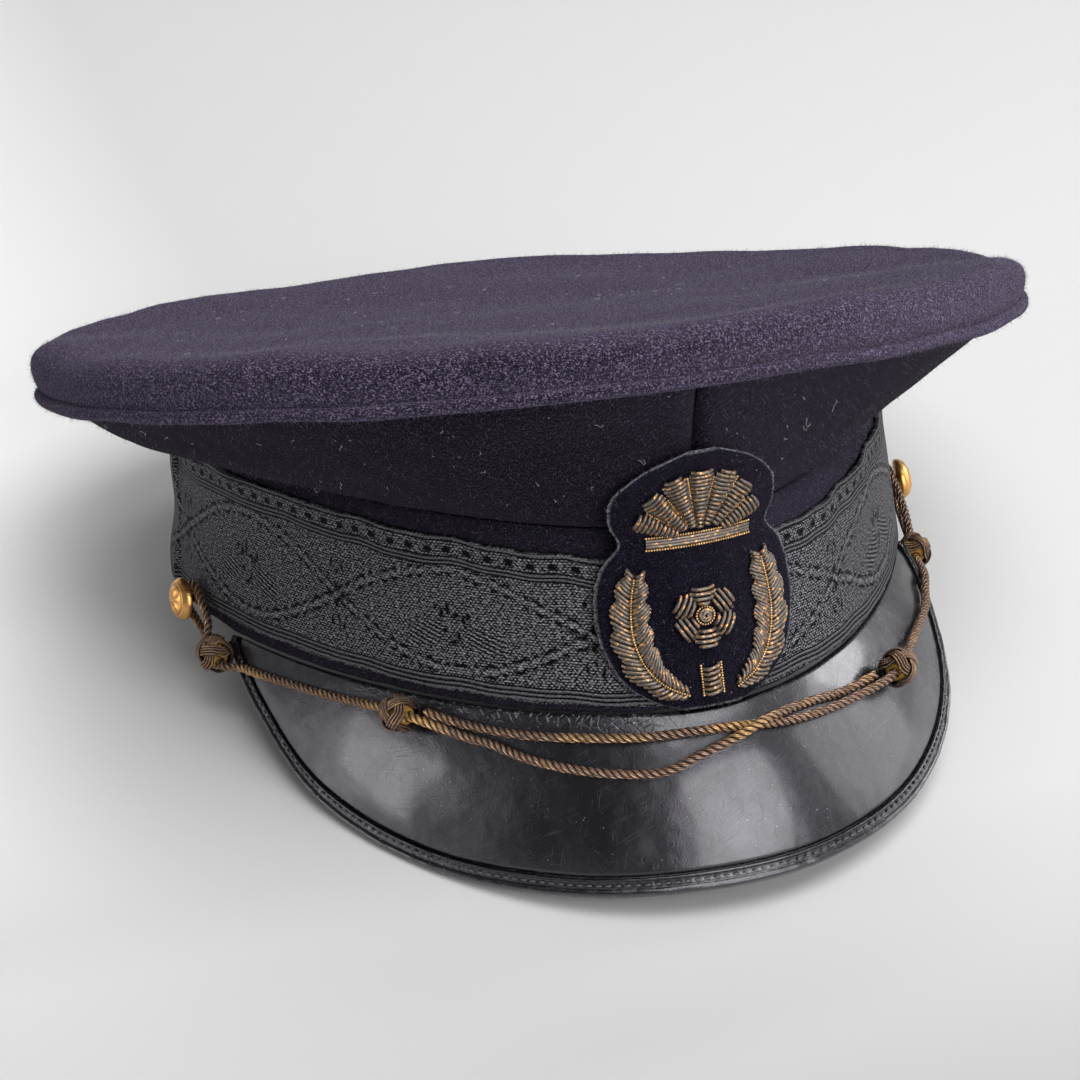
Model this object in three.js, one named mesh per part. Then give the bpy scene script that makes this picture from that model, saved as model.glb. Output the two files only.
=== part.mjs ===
// A peaked conductor cap at rest on its peak and the back of its band.
// Millimetres. +X is the wearer's left, -Y the front, +Z up.
import * as THREE from "three";

// Driving sizes of the cap's own frame, whose origin is the middle of the band's bottom edge.
const band = { halfWidth: 87.5, front: 104.5, back: 90, egg: 0.26 };
const bandTop = { halfWidth: 83.1, front: 97.8, back: 88, height: 45 };
const bandWall = { outer: -0.9, inner: -3.2 };
const braidWall = { outer: 0.6, inner: -0.6 };
const crownRing = {
  halfWidth: 116.2,
  front: 117.4,
  back: 108,
  egg: 0.1,
  squareness: 2.25,
  setBack: 3.7,
  height: 56.1,
  tiltDeg: 9.6,
};
const clothThickness = 2;
const piping = { out: -0.2, up: -1.3, halfWide: 1.7, halfHigh: 1.5 };
const quarterEnd = { out: -2.9, up: -2 };
const peakShape = { halfAngleDeg: 78.4, turnDeg: -6, slopeDeg: 66.6, endSlopeDeg: 58.5, skewDeg: -7.3 };
const peakLeather = { thickness: 2, bulge: 2.5, forward: 0.06, rimWidth: 4.2, rimThickness: 3.2 };
const cordDiameter = 2.1;
const knot = { length: 7.6, diameter: 8.4, bore: 3.2, lip: 0.8 };
const button = { radius: 5.1, edge: 0.7, rise: 2.7, shankRadius: 1.1, shankLength: 3.4, tiltDeg: 8 };
const gap = 0.3;
const seamGapRadians = 0.0016;

// How finely each surface is divided, round the cap or along its length and across it.
const facets = {
  crown: 44,
  piping: 46,
  quarter: 28,
  quarterRows: 6,
  band: 64,
  peak: 34,
  peakRows: 6,
  rolledEdge: 44,
  cord: 66,
  roll: 8,
  knot: 12,
  knotRows: 7,
  button: 20,
  dome: 5,
};

// How the cap stands: leaned back onto the band's rear edge, its box's middle over the origin.
const rest = { pitchDeg: 11.45, lift: 17.687, forward: 2.8 };

// The profile heights around the cap, one row for each direction from the back by the wearer's right.
const aroundCap = [
  { angleDeg: -180, braidBottom: 2.3, braidTop: 34.7, strip: 4, seamRise: 0.6, rimHeight: 10.6, sag: 4 },
  { angleDeg: -135, braidBottom: 2.4, braidTop: 35.2, strip: 3, seamRise: 1.9, rimHeight: 11.6, sag: 4 },
  { angleDeg: -90, braidBottom: 3.9, braidTop: 39.5, strip: 2.5, seamRise: 2.8, rimHeight: 10.5, sag: 3.2 },
  { angleDeg: -45, braidBottom: 2.6, braidTop: 36.8, strip: 4, seamRise: 2.9, rimHeight: 11, sag: 1.5 },
  { angleDeg: 0, braidBottom: 1.7, braidTop: 32.5, strip: 6.5, seamRise: 0.2, rimHeight: 9.7, sag: -0.5 },
  { angleDeg: 45, braidBottom: 0.9, braidTop: 33.7, strip: 6.5, seamRise: -3.1, rimHeight: 10.3, sag: 0 },
  { angleDeg: 90, braidBottom: 1.1, braidTop: 35.2, strip: 5, seamRise: -3.2, rimHeight: 6.6, sag: 0 },
  { angleDeg: 135, braidBottom: 2.2, braidTop: 35, strip: 4, seamRise: -2.4, rimHeight: 6.2, sag: 3 },
];

// The rim's section from the seam to the ridge: outwards in mm, upwards as a share of the rim's height.
const rimSection = [
  { out: -1.9, up: 0.1 },
  { out: 0.2, up: 0.16 },
  { out: 1.1, up: 0.36 },
  { out: 1.1, up: 0.6 },
  { out: 0, up: 0.82 },
  { out: -2.6, up: 0.96 },
  { out: -6.1, up: 1 },
  { out: -11, up: 0.94 },
];
// The crown's top inside the rim: share of the way out from the middle, dip below the rim in mm.
const crownTopSection = [
  { share: 0.78, dip: 2 },
  { share: 0.55, dip: 3 },
  { share: 0.28, dip: 3.4 },
];
const crownMiddleDip = 3.5;

// The peak's width from its middle to its end, at equal steps of a quarter turn.
const peakWidths = [38.5, 38.8, 36.9, 29.2, 15.5, 5, 0];
// How far along it the leather and the rolled edge run, and the least of its width that stays leather.
const peakEnd = 0.83;
const rimEnd = 0.9;
const leastLeather = 0.05;

// The badge's own frame: height above its bottom edge, then its left and right edge, and its curve.
const badgeFrame = { bottom: 0.6, bendAt: 22, lean: -0.149, curl: 0.0088, seat: 0.9, thickness: 1.2 };
const bullionThickness = 1.6;
const patchOutline = [
  { height: 0, left: -6, right: 6 },
  { height: 3, left: -13, right: 13 },
  { height: 8, left: -18.5, right: 18.5 },
  { height: 16, left: -21.5, right: 21.5 },
  { height: 25, left: -21.8, right: 21.8 },
  { height: 32, left: -19.8, right: 19.8 },
  { height: 37, left: -16.4, right: 16.4 },
  { height: 42, left: -18.2, right: 18.2 },
  { height: 48, left: -17.6, right: 17.6 },
  { height: 54, left: -11.5, right: 11.5 },
  { height: 58, left: -3, right: 3 },
];
const sprayOutline = [
  { height: 3, left: -9, right: -2.5 },
  { height: 6, left: -14, right: -5 },
  { height: 11, left: -17.4, right: -8.5 },
  { height: 18, left: -18.8, right: -11 },
  { height: 26, left: -17.6, right: -11.5 },
  { height: 33, left: -14.6, right: -11.6 },
];
const fanOutline = [
  { height: 39.6, left: -10, right: 10 },
  { height: 43, left: -14, right: 14 },
  { height: 47, left: -13, right: 13 },
  { height: 51, left: -8.6, right: 8.6 },
  { height: 54, left: -3, right: 3 },
];
const barOutline = [
  { height: 35.6, left: -11, right: 11 },
  { height: 38.9, left: -11.4, right: 11.4 },
];
const rosette = { height: 20, radius: 7.2, rows: 9, cut: 0.94 };
const tie = { height: 2.6, halfWidth: 1.9, top: 9.6 };

// Where the buttons sit on the band.
const buttonPlaces = [
  { name: "button_right_side", angleDeg: -92.8, height: 5 },
  { name: "button_left_side", angleDeg: 91.5, height: 2.6 },
];

// Each cord's route in the cap's frame, from the loop round its button's shank to its last knot.
const cordRoutes = {
  cord_from_right: [
    [-89.97, -8.28, -2.88],
    [-90, -5, -1.6],
    [-90.8, 1.9, 0.9],
    [-91.4, 6.1, 3],
    [-91, 6.8, 6.6],
    [-90.1, 3.7, 8.5],
    [-89.5, -0.5, 6.4],
    [-89.2, -6.3, 2.3],
    [-90.41, -10.03, -1.25],
    [-89.75, -13.93, -2.95],
    [-89.1, -17.82, -4.66],
    [-85.4, -22.3, -4.3],
    [-82.8, -28.6, -4],
    [-78.75, -37.43, -3.57],
    [-71.08, -51.64, -3.24],
    [-62.64, -68.21, -1.64],
    [-60.6, -72, -1.7],
    [-58.56, -75.79, -1.76],
    [-49.42, -83.28, -5.2],
    [-44.92, -88.2, -6.02],
    [-39.8, -94.3, -7.7],
    [-31.6, -101.7, -9.2],
    [-22.8, -107.2, -10],
    [-13.5, -110.9, -9.9],
    [-5.1, -112, -7],
    [2.9, -112.6, -4.4],
    [9.54, -110.69, -2.87],
    [19.84, -105.34, -3.62],
    [33.61, -98.89, -5.43],
    [42.19, -94.58, -5.19],
  ],
  cord_from_left: [
    [84.78, -22.93, -6.72],
    [86.31, -16.58, -4.95],
    [90.3, -0.9, -1.1],
    [91.2, 3.6, 0.2],
    [91, 4.9, 3.7],
    [90, 2.2, 6.1],
    [89.2, -2.3, 4.8],
    [86.99, -13.61, 0.63],
    [84.13, -23.95, -4.6],
    [82.8, -28, -5.2],
    [81.47, -32.05, -5.8],
    [77.1, -46.22, -4.66],
    [74.41, -52.01, -5.79],
    [71.03, -59.22, -6.58],
    [63.65, -70.44, -6.85],
    [51.94, -88.38, -5.79],
    [49.1, -91.6, -6],
    [46.26, -94.82, -6.21],
    [27.87, -103.57, -6.69],
    [14.85, -107.89, -5.42],
    [3.5, -108.96, -3.75],
    [-7, -108.1, -3.3],
    [-16.8, -105.5, -3.5],
    [-27.1, -100.4, -3.5],
    [-38.79, -92.08, -3.62],
    [-49.44, -81.09, -2.96],
    [-55.73, -75.52, -1.13],
  ],
};
// The knots: which cord passes through, and at which point of its route.
const knots = [
  { name: "knot_right_outer", cord: "cord_from_right", point: 9 },
  { name: "knot_right_inner", cord: "cord_from_right", point: 16 },
  { name: "knot_left_outer", cord: "cord_from_left", point: 9 },
  { name: "knot_left_inner", cord: "cord_from_left", point: 16 },
];

const materials = {
  cloth: new THREE.MeshStandardMaterial({ color: 0x1b1724, roughness: 0.95, metalness: 0 }),
  braid: new THREE.MeshStandardMaterial({ color: 0x1d1e20, roughness: 0.6, metalness: 0 }),
  leather: new THREE.MeshStandardMaterial({ color: 0x0b0b0d, roughness: 0.22, metalness: 0 }),
  cord: new THREE.MeshStandardMaterial({ color: 0x6a5440, roughness: 0.5, metalness: 0.4 }),
  bullion: new THREE.MeshStandardMaterial({ color: 0x8a755a, roughness: 0.45, metalness: 0.6 }),
  brass: new THREE.MeshStandardMaterial({ color: 0xd9a548, roughness: 0.3, metalness: 1 }),
};

const radians = THREE.MathUtils.degToRad;
const fullTurn = 2 * Math.PI;
const mix = THREE.MathUtils.lerp;

// A smooth curve through four values in a row, between the middle two.
function smooth(before, start, end, after, share) {
  const bend = 3 * (start - end) + after - before;
  const slope = 2 * before - 5 * start + 4 * end - after + share * bend;
  return start + 0.5 * share * (end - before + share * slope);
}

// A column of the table around the cap, at an angle in radians from the front.
function around(column, angle) {
  const count = aroundCap.length;
  const place = (((angle / fullTurn + 0.5) * count) % count + count) % count;
  const row = Math.floor(place);
  const pick = (step) => aroundCap[(row + step + count) % count][column];
  return smooth(pick(-1), pick(0), pick(1), pick(2), place - row);
}

// A list of values at equal steps, mirrored at its start and straight on at its end.
function along(values, share) {
  const last = values.length - 1;
  const place = Math.min(Math.max(share, 0), 1) * last;
  const row = Math.min(Math.floor(place), last - 1);
  const before = row === 0 ? values[1] : values[row - 1];
  const after = row === last - 1 ? 2 * values[last] - values[last - 1] : values[row + 2];
  return smooth(before, values[row], values[row + 1], after, place - row);
}

// A column of an outline's table at a height.
function atHeight(rows, column, height) {
  const next = Math.max(1, rows.findIndex((row) => row.height >= height));
  const low = rows[next - 1];
  const high = rows[next];
  return mix(low[column], high[column], (height - low.height) / (high.height - low.height));
}

function bandSurface(angle, height) {
  const share = height / bandTop.height;
  const halfWidth = mix(band.halfWidth, bandTop.halfWidth, share);
  const front = mix(band.front, bandTop.front, share);
  const back = mix(band.back, bandTop.back, share);
  const forward = Math.cos(angle);
  return new THREE.Vector3(
    halfWidth * Math.sin(angle) * (1 - band.egg * forward),
    -(forward > 0 ? front : back) * forward,
    height,
  );
}

function bandNormal(angle, height) {
  const step = 1e-3;
  const tangent = bandSurface(angle + step, height).sub(bandSurface(angle - step, height));
  return new THREE.Vector3(tangent.y, -tangent.x, 0).normalize();
}

function bandPoint(angle, height, out) {
  return bandSurface(angle, height).addScaledVector(bandNormal(angle, height), out);
}

// A point of the crown's frame, out from and up from its seam, shrunk towards its middle by share.
function crownPoint(angle, out, up, share = 1) {
  const power = 2 / crownRing.squareness;
  const round = (value) => Math.sign(value) * Math.abs(value) ** power;
  const side = round(Math.sin(angle));
  const forward = round(Math.cos(angle));
  const reach = forward > 0 ? crownRing.front : crownRing.back;
  const x = (crownRing.halfWidth + out) * side * (1 - crownRing.egg * Math.cos(angle)) * share;
  const y = -(reach + out) * forward * share;
  const z = around("seamRise", angle) * share + up;
  const tilt = radians(crownRing.tiltDeg);
  return new THREE.Vector3(
    x,
    crownRing.setBack + y * Math.cos(tilt) + z * Math.sin(tilt),
    crownRing.height - y * Math.sin(tilt) + z * Math.cos(tilt),
  );
}

// A point of the peak: place from -1 to 1 along it, share from the band to the edge, out off its face.
function peakPoint(place, share, out) {
  const turn = Math.sin((place * Math.PI) / 2);
  const angle = radians(peakShape.turnDeg + turn * peakShape.halfAngleDeg);
  const outwards = bandNormal(angle, 0).add(new THREE.Vector3(0, -peakLeather.forward, 0)).normalize();
  const width = along(peakWidths, Math.abs(place));
  const slopeDeg = mix(peakShape.slopeDeg, peakShape.endSlopeDeg, turn * turn) + peakShape.skewDeg * turn;
  const slope = radians(slopeDeg);
  const face = outwards.clone().multiplyScalar(Math.sin(slope));
  face.z += Math.cos(slope);
  const bulge = (4 * share * (1 - share) * peakLeather.bulge * width) / peakWidths[0];
  const point = bandSurface(angle, 0).addScaledVector(outwards, width * share * Math.cos(slope));
  point.z -= width * share * Math.sin(slope);
  return point.addScaledVector(face, bulge + out);
}

// A point of the badge: across and up from the middle of its bottom edge, out off its seat.
function badgePoint(across, height, out) {
  const straight = Math.min(height, badgeFrame.bendAt);
  const angle = across / (band.halfWidth * (1 - band.egg));
  const point = bandPoint(angle, badgeFrame.bottom + straight, badgeFrame.seat + out);
  const above = height - straight;
  point.z += above;
  point.y -= above * badgeFrame.lean + above * above * badgeFrame.curl;
  return point;
}

// A closed solid between two grids of points, outer[row][column] and inner[row][column].
// Where a middle is given, the last columns close on its two points instead of on each other.
function wall(outer, inner, closed, middle) {
  const rows = outer.length;
  const columns = outer[0].length;
  const points = [...outer.flat(), ...inner.flat()];
  const faces = [];
  const out = (row, column) => (row % rows) * columns + column;
  const within = (row, column) => rows * columns + out(row, column);
  const quad = (a, b, c, d) => faces.push(a, b, c, a, c, d);
  const edge = columns - 1;
  const [upper, lower] = [points.length, points.length + 1];
  if (middle) points.push(...middle);
  for (let row = 0; row < (closed ? rows : rows - 1); row++) {
    for (let column = 0; column < edge; column++) {
      const [nextRow, nextColumn] = [row + 1, column + 1];
      quad(out(row, column), out(nextRow, column), out(nextRow, nextColumn), out(row, nextColumn));
      quad(within(row, column), within(row, nextColumn), within(nextRow, nextColumn), within(nextRow, column));
    }
    quad(within(row, 0), within(row + 1, 0), out(row + 1, 0), out(row, 0));
    if (middle) {
      faces.push(out(row, edge), out(row + 1, edge), upper);
      faces.push(within(row + 1, edge), within(row, edge), lower);
    } else quad(out(row, edge), out(row + 1, edge), within(row + 1, edge), within(row, edge));
  }
  if (!closed) {
    const end = rows - 1;
    for (let column = 0; column < edge; column++) {
      quad(within(0, column), out(0, column), out(0, column + 1), within(0, column + 1));
      quad(out(end, column), within(end, column), within(end, column + 1), out(end, column + 1));
    }
  }
  return geometryOf(points, faces);
}

// A geometry of indexed triangles, turned so that its faces look outwards.
function geometryOf(points, faces) {
  let volume = 0;
  for (let face = 0; face < faces.length; face += 3) {
    const [a, b, c] = faces.slice(face, face + 3).map((index) => points[index]);
    volume += a.dot(b.clone().cross(c));
  }
  const positions = new Float32Array(points.flatMap((point) => point.toArray()));
  const geometry = new THREE.BufferGeometry();
  geometry.setAttribute("position", new THREE.BufferAttribute(positions, 3));
  geometry.setIndex(volume < 0 ? faces.reverse() : faces);
  geometry.computeVertexNormals();
  return geometry;
}

// A closed solid swept through sections, each a ring of points.
function sweep(sections, closed) {
  const count = sections.length;
  const sides = sections[0].length;
  const faces = [];
  const at = (row, side) => (row % count) * sides + (side % sides);
  for (let row = 0; row < (closed ? count : count - 1); row++) {
    for (let side = 0; side < sides; side++) {
      faces.push(at(row, side), at(row + 1, side), at(row + 1, side + 1));
      faces.push(at(row, side), at(row + 1, side + 1), at(row, side + 1));
    }
  }
  if (!closed) {
    for (let side = 1; side < sides - 1; side++) {
      faces.push(at(0, 0), at(0, side), at(0, side + 1));
      faces.push(at(count - 1, 0), at(count - 1, side + 1), at(count - 1, side));
    }
  }
  return geometryOf(sections.flat(), faces);
}

const steps = (count, from, to) => Array.from({ length: count + 1 }, (_, i) => mix(from, to, i / count));
const turns = (count) => steps(count, -Math.PI, Math.PI).slice(0, count);

// The outline of a section moved inwards by a distance, square to its own line.
function inset(section, distance) {
  return section.map((point, index) => {
    const before = section[Math.max(index - 1, 0)];
    const after = section[Math.min(index + 1, section.length - 1)];
    const run = new THREE.Vector2(after.out - before.out, after.up - before.up).normalize();
    return { out: point.out - run.y * distance, up: point.up + run.x * distance };
  });
}

function crownTop() {
  const angles = turns(facets.crown);
  const rimRise = (angle) => around("rimHeight", angle);
  const meanRise = aroundCap.reduce((sum, row) => sum + row.rimHeight, 0) / aroundCap.length;
  const surface = (angle, inwards) => {
    const rim = rimSection.map(({ out, up }) => ({ out, up: up * rimRise(angle) }));
    const edge = inset(rim, inwards).map(({ out, up }) => crownPoint(angle, out, up));
    const ridge = rimSection[rimSection.length - 1].out;
    const top = crownTopSection.map(({ share, dip }) => {
      const up = mix(meanRise, rimRise(angle), share) - dip - inwards;
      return crownPoint(angle, ridge, up, share);
    });
    return [...edge, ...top];
  };
  const outer = angles.map((angle) => surface(angle, 0));
  const inner = angles.map((angle) => surface(angle, clothThickness));
  const rise = meanRise - crownMiddleDip;
  return wall(outer, inner, true, [crownPoint(0, 0, rise, 0), crownPoint(0, 0, rise - clothThickness, 0)]);
}

function pipingRing() {
  const sections = turns(facets.piping).map((angle) =>
    turns(facets.roll).map((side) =>
      crownPoint(
        angle,
        piping.out + piping.halfWide * Math.sin(side),
        piping.up + piping.halfHigh * Math.cos(side),
      ),
    ),
  );
  return sweep(sections, true);
}

// One side of the cloth between the band and the crown, from the front seam to the back seam.
function quarter(from, to) {
  const surface = (angle, inwards) => {
    const height = around("braidTop", angle) + around("strip", angle) + gap;
    const start = bandPoint(angle, height, bandWall.outer);
    const run = crownPoint(angle, quarterEnd.out, quarterEnd.up).sub(start);
    const outwards = bandNormal(angle, height);
    const flare = run.dot(outwards);
    const square = new THREE.Vector3(0, 0, -flare).addScaledVector(outwards, run.z).normalize();
    return steps(facets.quarterRows, 0, 1).map((share) => {
      const bow = 4 * share * (1 - share) * around("sag", angle);
      return start.clone().addScaledVector(run, share).addScaledVector(square, bow - inwards);
    });
  };
  const angles = steps(facets.quarter, from, to);
  const outer = angles.map((angle) => surface(angle, 0));
  const inner = angles.map((angle) => surface(angle, clothThickness));
  return wall(outer, inner, false);
}

function headBand() {
  const face = (out) => (angle) => {
    const top = around("braidTop", angle) + around("strip", angle);
    return [bandPoint(angle, 0, out), bandPoint(angle, top, out)];
  };
  const angles = turns(facets.band);
  return wall(angles.map(face(bandWall.outer)), angles.map(face(bandWall.inner)), true);
}

function mohairBraid() {
  const face = (out) => (angle) => [
    bandPoint(angle, around("braidBottom", angle), out),
    bandPoint(angle, around("braidTop", angle), out),
  ];
  const angles = turns(facets.band);
  return wall(angles.map(face(braidWall.outer)), angles.map(face(braidWall.inner)), true);
}

// The share of the peak's width that its leather takes, up to the rolled edge.
function plateShare(place) {
  const width = along(peakWidths, Math.abs(place));
  return Math.max(1 - peakLeather.rimWidth / width, leastLeather);
}

function peakPlate() {
  const places = steps(facets.peak, -peakEnd, peakEnd);
  const face = (out) => (place) =>
    steps(facets.peakRows, 0, plateShare(place) - gap / along(peakWidths, Math.abs(place))).map((share) =>
      peakPoint(place, share, out),
    );
  return wall(places.map(face(0)), places.map(face(-peakLeather.thickness)), false);
}

function peakRim() {
  const thick = peakLeather.rimThickness / 2;
  const middle = -peakLeather.thickness / 2;
  const sections = steps(facets.rolledEdge, -rimEnd, rimEnd).map((place) => {
    const width = along(peakWidths, Math.abs(place));
    const reach = Math.min(peakLeather.rimWidth, width) / 2;
    return turns(facets.roll).map((side) => {
      const share = 1 - (reach * (1 - Math.sin(side))) / width;
      return peakPoint(place, share, middle + thick * Math.cos(side));
    });
  });
  return sweep(sections, false);
}

// A flat piece of the badge between a left and a right edge, bent to the badge's curve.
function badgePiece(outline, low, high, columns, rows) {
  const heights = steps(rows, outline[0].height, outline[outline.length - 1].height);
  const face = (out) => (height) => {
    const left = atHeight(outline, "left", height);
    const right = atHeight(outline, "right", height);
    return steps(columns, left, right).map((across) => badgePoint(across, height, out));
  };
  return wall(heights.map(face(low)), heights.map(face(high)), false);
}

function mirrored(outline) {
  return outline.map(({ height, left, right }) => ({ height, left: -right, right: -left }));
}

function rosetteOutline() {
  return steps(rosette.rows, -rosette.cut, rosette.cut).map((share) => {
    const reach = rosette.radius * Math.sqrt(1 - share * share);
    return { height: rosette.height + rosette.radius * share, left: -reach, right: reach };
  });
}

function tieOutline() {
  return [
    { height: tie.height, left: -tie.halfWidth, right: tie.halfWidth },
    { height: tie.top, left: -tie.halfWidth, right: tie.halfWidth },
  ];
}

function cordTube(route) {
  const path = new THREE.CatmullRomCurve3(route.map((point) => new THREE.Vector3(...point)));
  const section = new THREE.Shape();
  for (const side of turns(facets.roll)) {
    const corner = [(cordDiameter / 2) * Math.cos(side), (cordDiameter / 2) * Math.sin(side)];
    if (side === -Math.PI) section.moveTo(...corner);
    else section.lineTo(...corner);
  }
  return new THREE.ExtrudeGeometry(section, { steps: facets.cord, bevelEnabled: false, extrudePath: path });
}

// A knot is a barrel with a bore for the cord, on its own Y axis.
function knotBarrel() {
  const half = knot.length / 2;
  const hole = knot.bore / 2;
  const end = hole + knot.lip;
  const profile = steps(facets.knotRows, -1, 1).map((share) => {
    const radius = end + (knot.diameter / 2 - end) * Math.sqrt(1 - share * share);
    return new THREE.Vector2(radius, half * share);
  });
  profile.push(new THREE.Vector2(hole, half), new THREE.Vector2(hole, -half), profile[0].clone());
  return new THREE.LatheGeometry(profile, facets.knot);
}

// A domed button with its shank, standing on its own Y axis from the band outwards.
function buttonBody() {
  const { radius, edge, rise, shankRadius, shankLength } = button;
  const dome = steps(facets.dome, 0, Math.PI / 2).map(
    (turn) => new THREE.Vector2(radius * Math.cos(turn), shankLength + edge + rise * Math.sin(turn)),
  );
  dome[dome.length - 1].x = 0;
  const profile = [
    new THREE.Vector2(0, 0),
    new THREE.Vector2(shankRadius, 0),
    new THREE.Vector2(shankRadius, shankLength),
    new THREE.Vector2(radius, shankLength),
    ...dome,
  ];
  return new THREE.LatheGeometry(profile, facets.button);
}

function addMesh(group, name, geometry, material) {
  const mesh = new THREE.Mesh(geometry, material);
  mesh.name = name;
  group.add(mesh);
  return mesh;
}

const cap = new THREE.Group();
addMesh(cap, "crown_top", crownTop(), materials.cloth);
addMesh(cap, "crown_piping", pipingRing(), materials.cloth);
addMesh(cap, "quarter_right", quarter(-Math.PI + seamGapRadians, -seamGapRadians), materials.cloth);
addMesh(cap, "quarter_left", quarter(seamGapRadians, Math.PI - seamGapRadians), materials.cloth);
addMesh(cap, "head_band", headBand(), materials.cloth);
addMesh(cap, "mohair_braid", mohairBraid(), materials.braid);
addMesh(cap, "peak", peakPlate(), materials.leather);
addMesh(cap, "peak_rolled_edge", peakRim(), materials.leather);

const patchTop = badgeFrame.thickness;
const bullion = [patchTop + gap, patchTop + gap + bullionThickness];
addMesh(cap, "badge_patch", badgePiece(patchOutline, 0, patchTop, 7, 16), materials.cloth);
addMesh(cap, "badge_spray_right", badgePiece(sprayOutline, ...bullion, 2, 10), materials.bullion);
addMesh(cap, "badge_spray_left", badgePiece(mirrored(sprayOutline), ...bullion, 2, 10), materials.bullion);
addMesh(cap, "badge_fan", badgePiece(fanOutline, ...bullion, 4, 7), materials.bullion);
addMesh(cap, "badge_bar", badgePiece(barOutline, ...bullion, 4, 1), materials.bullion);
addMesh(cap, "badge_rosette", badgePiece(rosetteOutline(), ...bullion, 4, 9), materials.bullion);
addMesh(cap, "badge_tie", badgePiece(tieOutline(), ...bullion, 1, 2), materials.bullion);

const upAxis = new THREE.Vector3(0, 1, 0);
for (const { name, angleDeg, height } of buttonPlaces) {
  const angle = radians(angleDeg);
  const mesh = addMesh(cap, name, buttonBody(), materials.brass);
  const lean = radians(button.tiltDeg);
  const aim = bandNormal(angle, height).multiplyScalar(Math.cos(lean));
  aim.z = Math.sin(lean);
  mesh.position.copy(bandPoint(angle, height, braidWall.outer + gap + button.shankRadius * Math.sin(lean)));
  mesh.quaternion.setFromUnitVectors(upAxis, aim);
}

for (const [name, route] of Object.entries(cordRoutes)) {
  addMesh(cap, name, cordTube(route), materials.cord);
}
for (const { name, cord, point } of knots) {
  const at = cordRoutes[cord].slice(point - 1, point + 2).map((place) => new THREE.Vector3(...place));
  const mesh = addMesh(cap, name, knotBarrel(), materials.cord);
  mesh.position.copy(at[1]);
  mesh.quaternion.setFromUnitVectors(upAxis, at[2].sub(at[0]).normalize());
}

cap.rotation.x = -radians(rest.pitchDeg);
cap.position.set(0, rest.forward, rest.lift);
const conductorCap = new THREE.Group();
conductorCap.add(cap);

export default conductorCap;
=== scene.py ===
"""A conductor cap in dark wool, woven braid and polished leather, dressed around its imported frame.

Sizes called MM are written in millimetres of the cap's own frame, whose origin is the middle of the
band's bottom edge. The function placed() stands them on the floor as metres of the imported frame.
"""
import math

import bpy
import numpy as np
from bpy.props import FloatProperty, FloatVectorProperty, IntProperty, PointerProperty
from mathutils import Matrix, Vector


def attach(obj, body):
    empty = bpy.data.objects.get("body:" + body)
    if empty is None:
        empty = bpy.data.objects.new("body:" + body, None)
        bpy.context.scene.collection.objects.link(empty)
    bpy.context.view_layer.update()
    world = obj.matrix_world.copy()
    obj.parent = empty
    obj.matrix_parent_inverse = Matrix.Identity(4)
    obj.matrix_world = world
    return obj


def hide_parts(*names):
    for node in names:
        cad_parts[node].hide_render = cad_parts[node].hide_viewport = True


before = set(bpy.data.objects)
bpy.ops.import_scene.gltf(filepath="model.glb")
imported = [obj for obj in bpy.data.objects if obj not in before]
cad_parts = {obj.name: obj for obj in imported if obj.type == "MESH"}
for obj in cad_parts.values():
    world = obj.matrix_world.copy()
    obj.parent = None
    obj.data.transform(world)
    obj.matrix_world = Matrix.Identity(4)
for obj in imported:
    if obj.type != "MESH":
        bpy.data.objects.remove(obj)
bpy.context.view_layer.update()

bl_info = {
    "name": "Conductor Cap",
    "version": (1, 0, 0),
    "blender": (4, 5, 0),
    "location": "3D View > Sidebar > Cap",
    "description": "Dresses the packed conductor cap with cloth, braid, leather, bullion and cords",
    "category": "Object",
}

MM = 0.001
TURN = 2 * math.pi
BODY = "root"

# How the cap stands, and the sizes that its solids were made with, in millimetres and degrees.
REST = {"pitch_deg": 11.45, "lift": 17.687, "forward": 2.8}
BAND = {"half_width": 87.5, "front": 104.5, "back": 90.0, "egg": 0.26}
BAND_TOP = {"half_width": 83.1, "front": 97.8, "back": 88.0, "height": 45.0}
BAND_FACE = -0.9
BAND_THICKNESS = 2.3
BRAID_FACE = 0.25
BRAID_BACK = -0.55
CROWN = {
    "half_width": 116.2,
    "front": 117.4,
    "back": 108.0,
    "egg": 0.1,
    "squareness": 2.25,
    "set_back": 3.7,
    "height": 56.1,
    "tilt_deg": 9.6,
}
CLOTH = 2.0
WELT = {"out": -0.2, "up": -1.3, "half_wide": 1.75, "half_high": 1.55}
QUARTER_END = {"out": -2.9, "up": -2.0}
# Half of the gap between the quarters at each of their seams, as an angle.
SEAM_GAP = 0.0014
PEAK = {"half_angle_deg": 78.4, "turn_deg": -6.0, "slope_deg": 66.6, "end_slope_deg": 58.5, "skew_deg": -7.3}
LEATHER = {"thickness": 2.0, "bulge": 2.5, "forward": 0.06, "rim_width": 4.2}
PEAK_WIDTHS = [38.5, 38.8, 36.9, 29.2, 15.5, 5.0, 0.0]
PEAK_END = 0.83
RIM_END = 0.9

# The heights round the cap, a column for each, from the back by the wearer's right in eighths of a turn.
AROUND = {
    "braid_bottom": [2.3, 2.4, 3.9, 2.6, 1.7, 0.9, 1.1, 2.2],
    "braid_top": [34.7, 35.2, 39.5, 36.8, 32.5, 33.7, 35.2, 35.0],
    "strip": [4.0, 3.0, 2.5, 4.0, 6.5, 6.5, 5.0, 4.0],
    "seam_rise": [0.6, 1.9, 2.8, 2.9, 0.2, -3.1, -3.2, -2.4],
    "rim_height": [10.6, 11.6, 10.5, 11.0, 9.7, 10.3, 6.6, 6.2],
    "sag": [4.0, 4.0, 3.2, 1.5, -0.5, 0.0, 0.0, 3.0],
}
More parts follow.
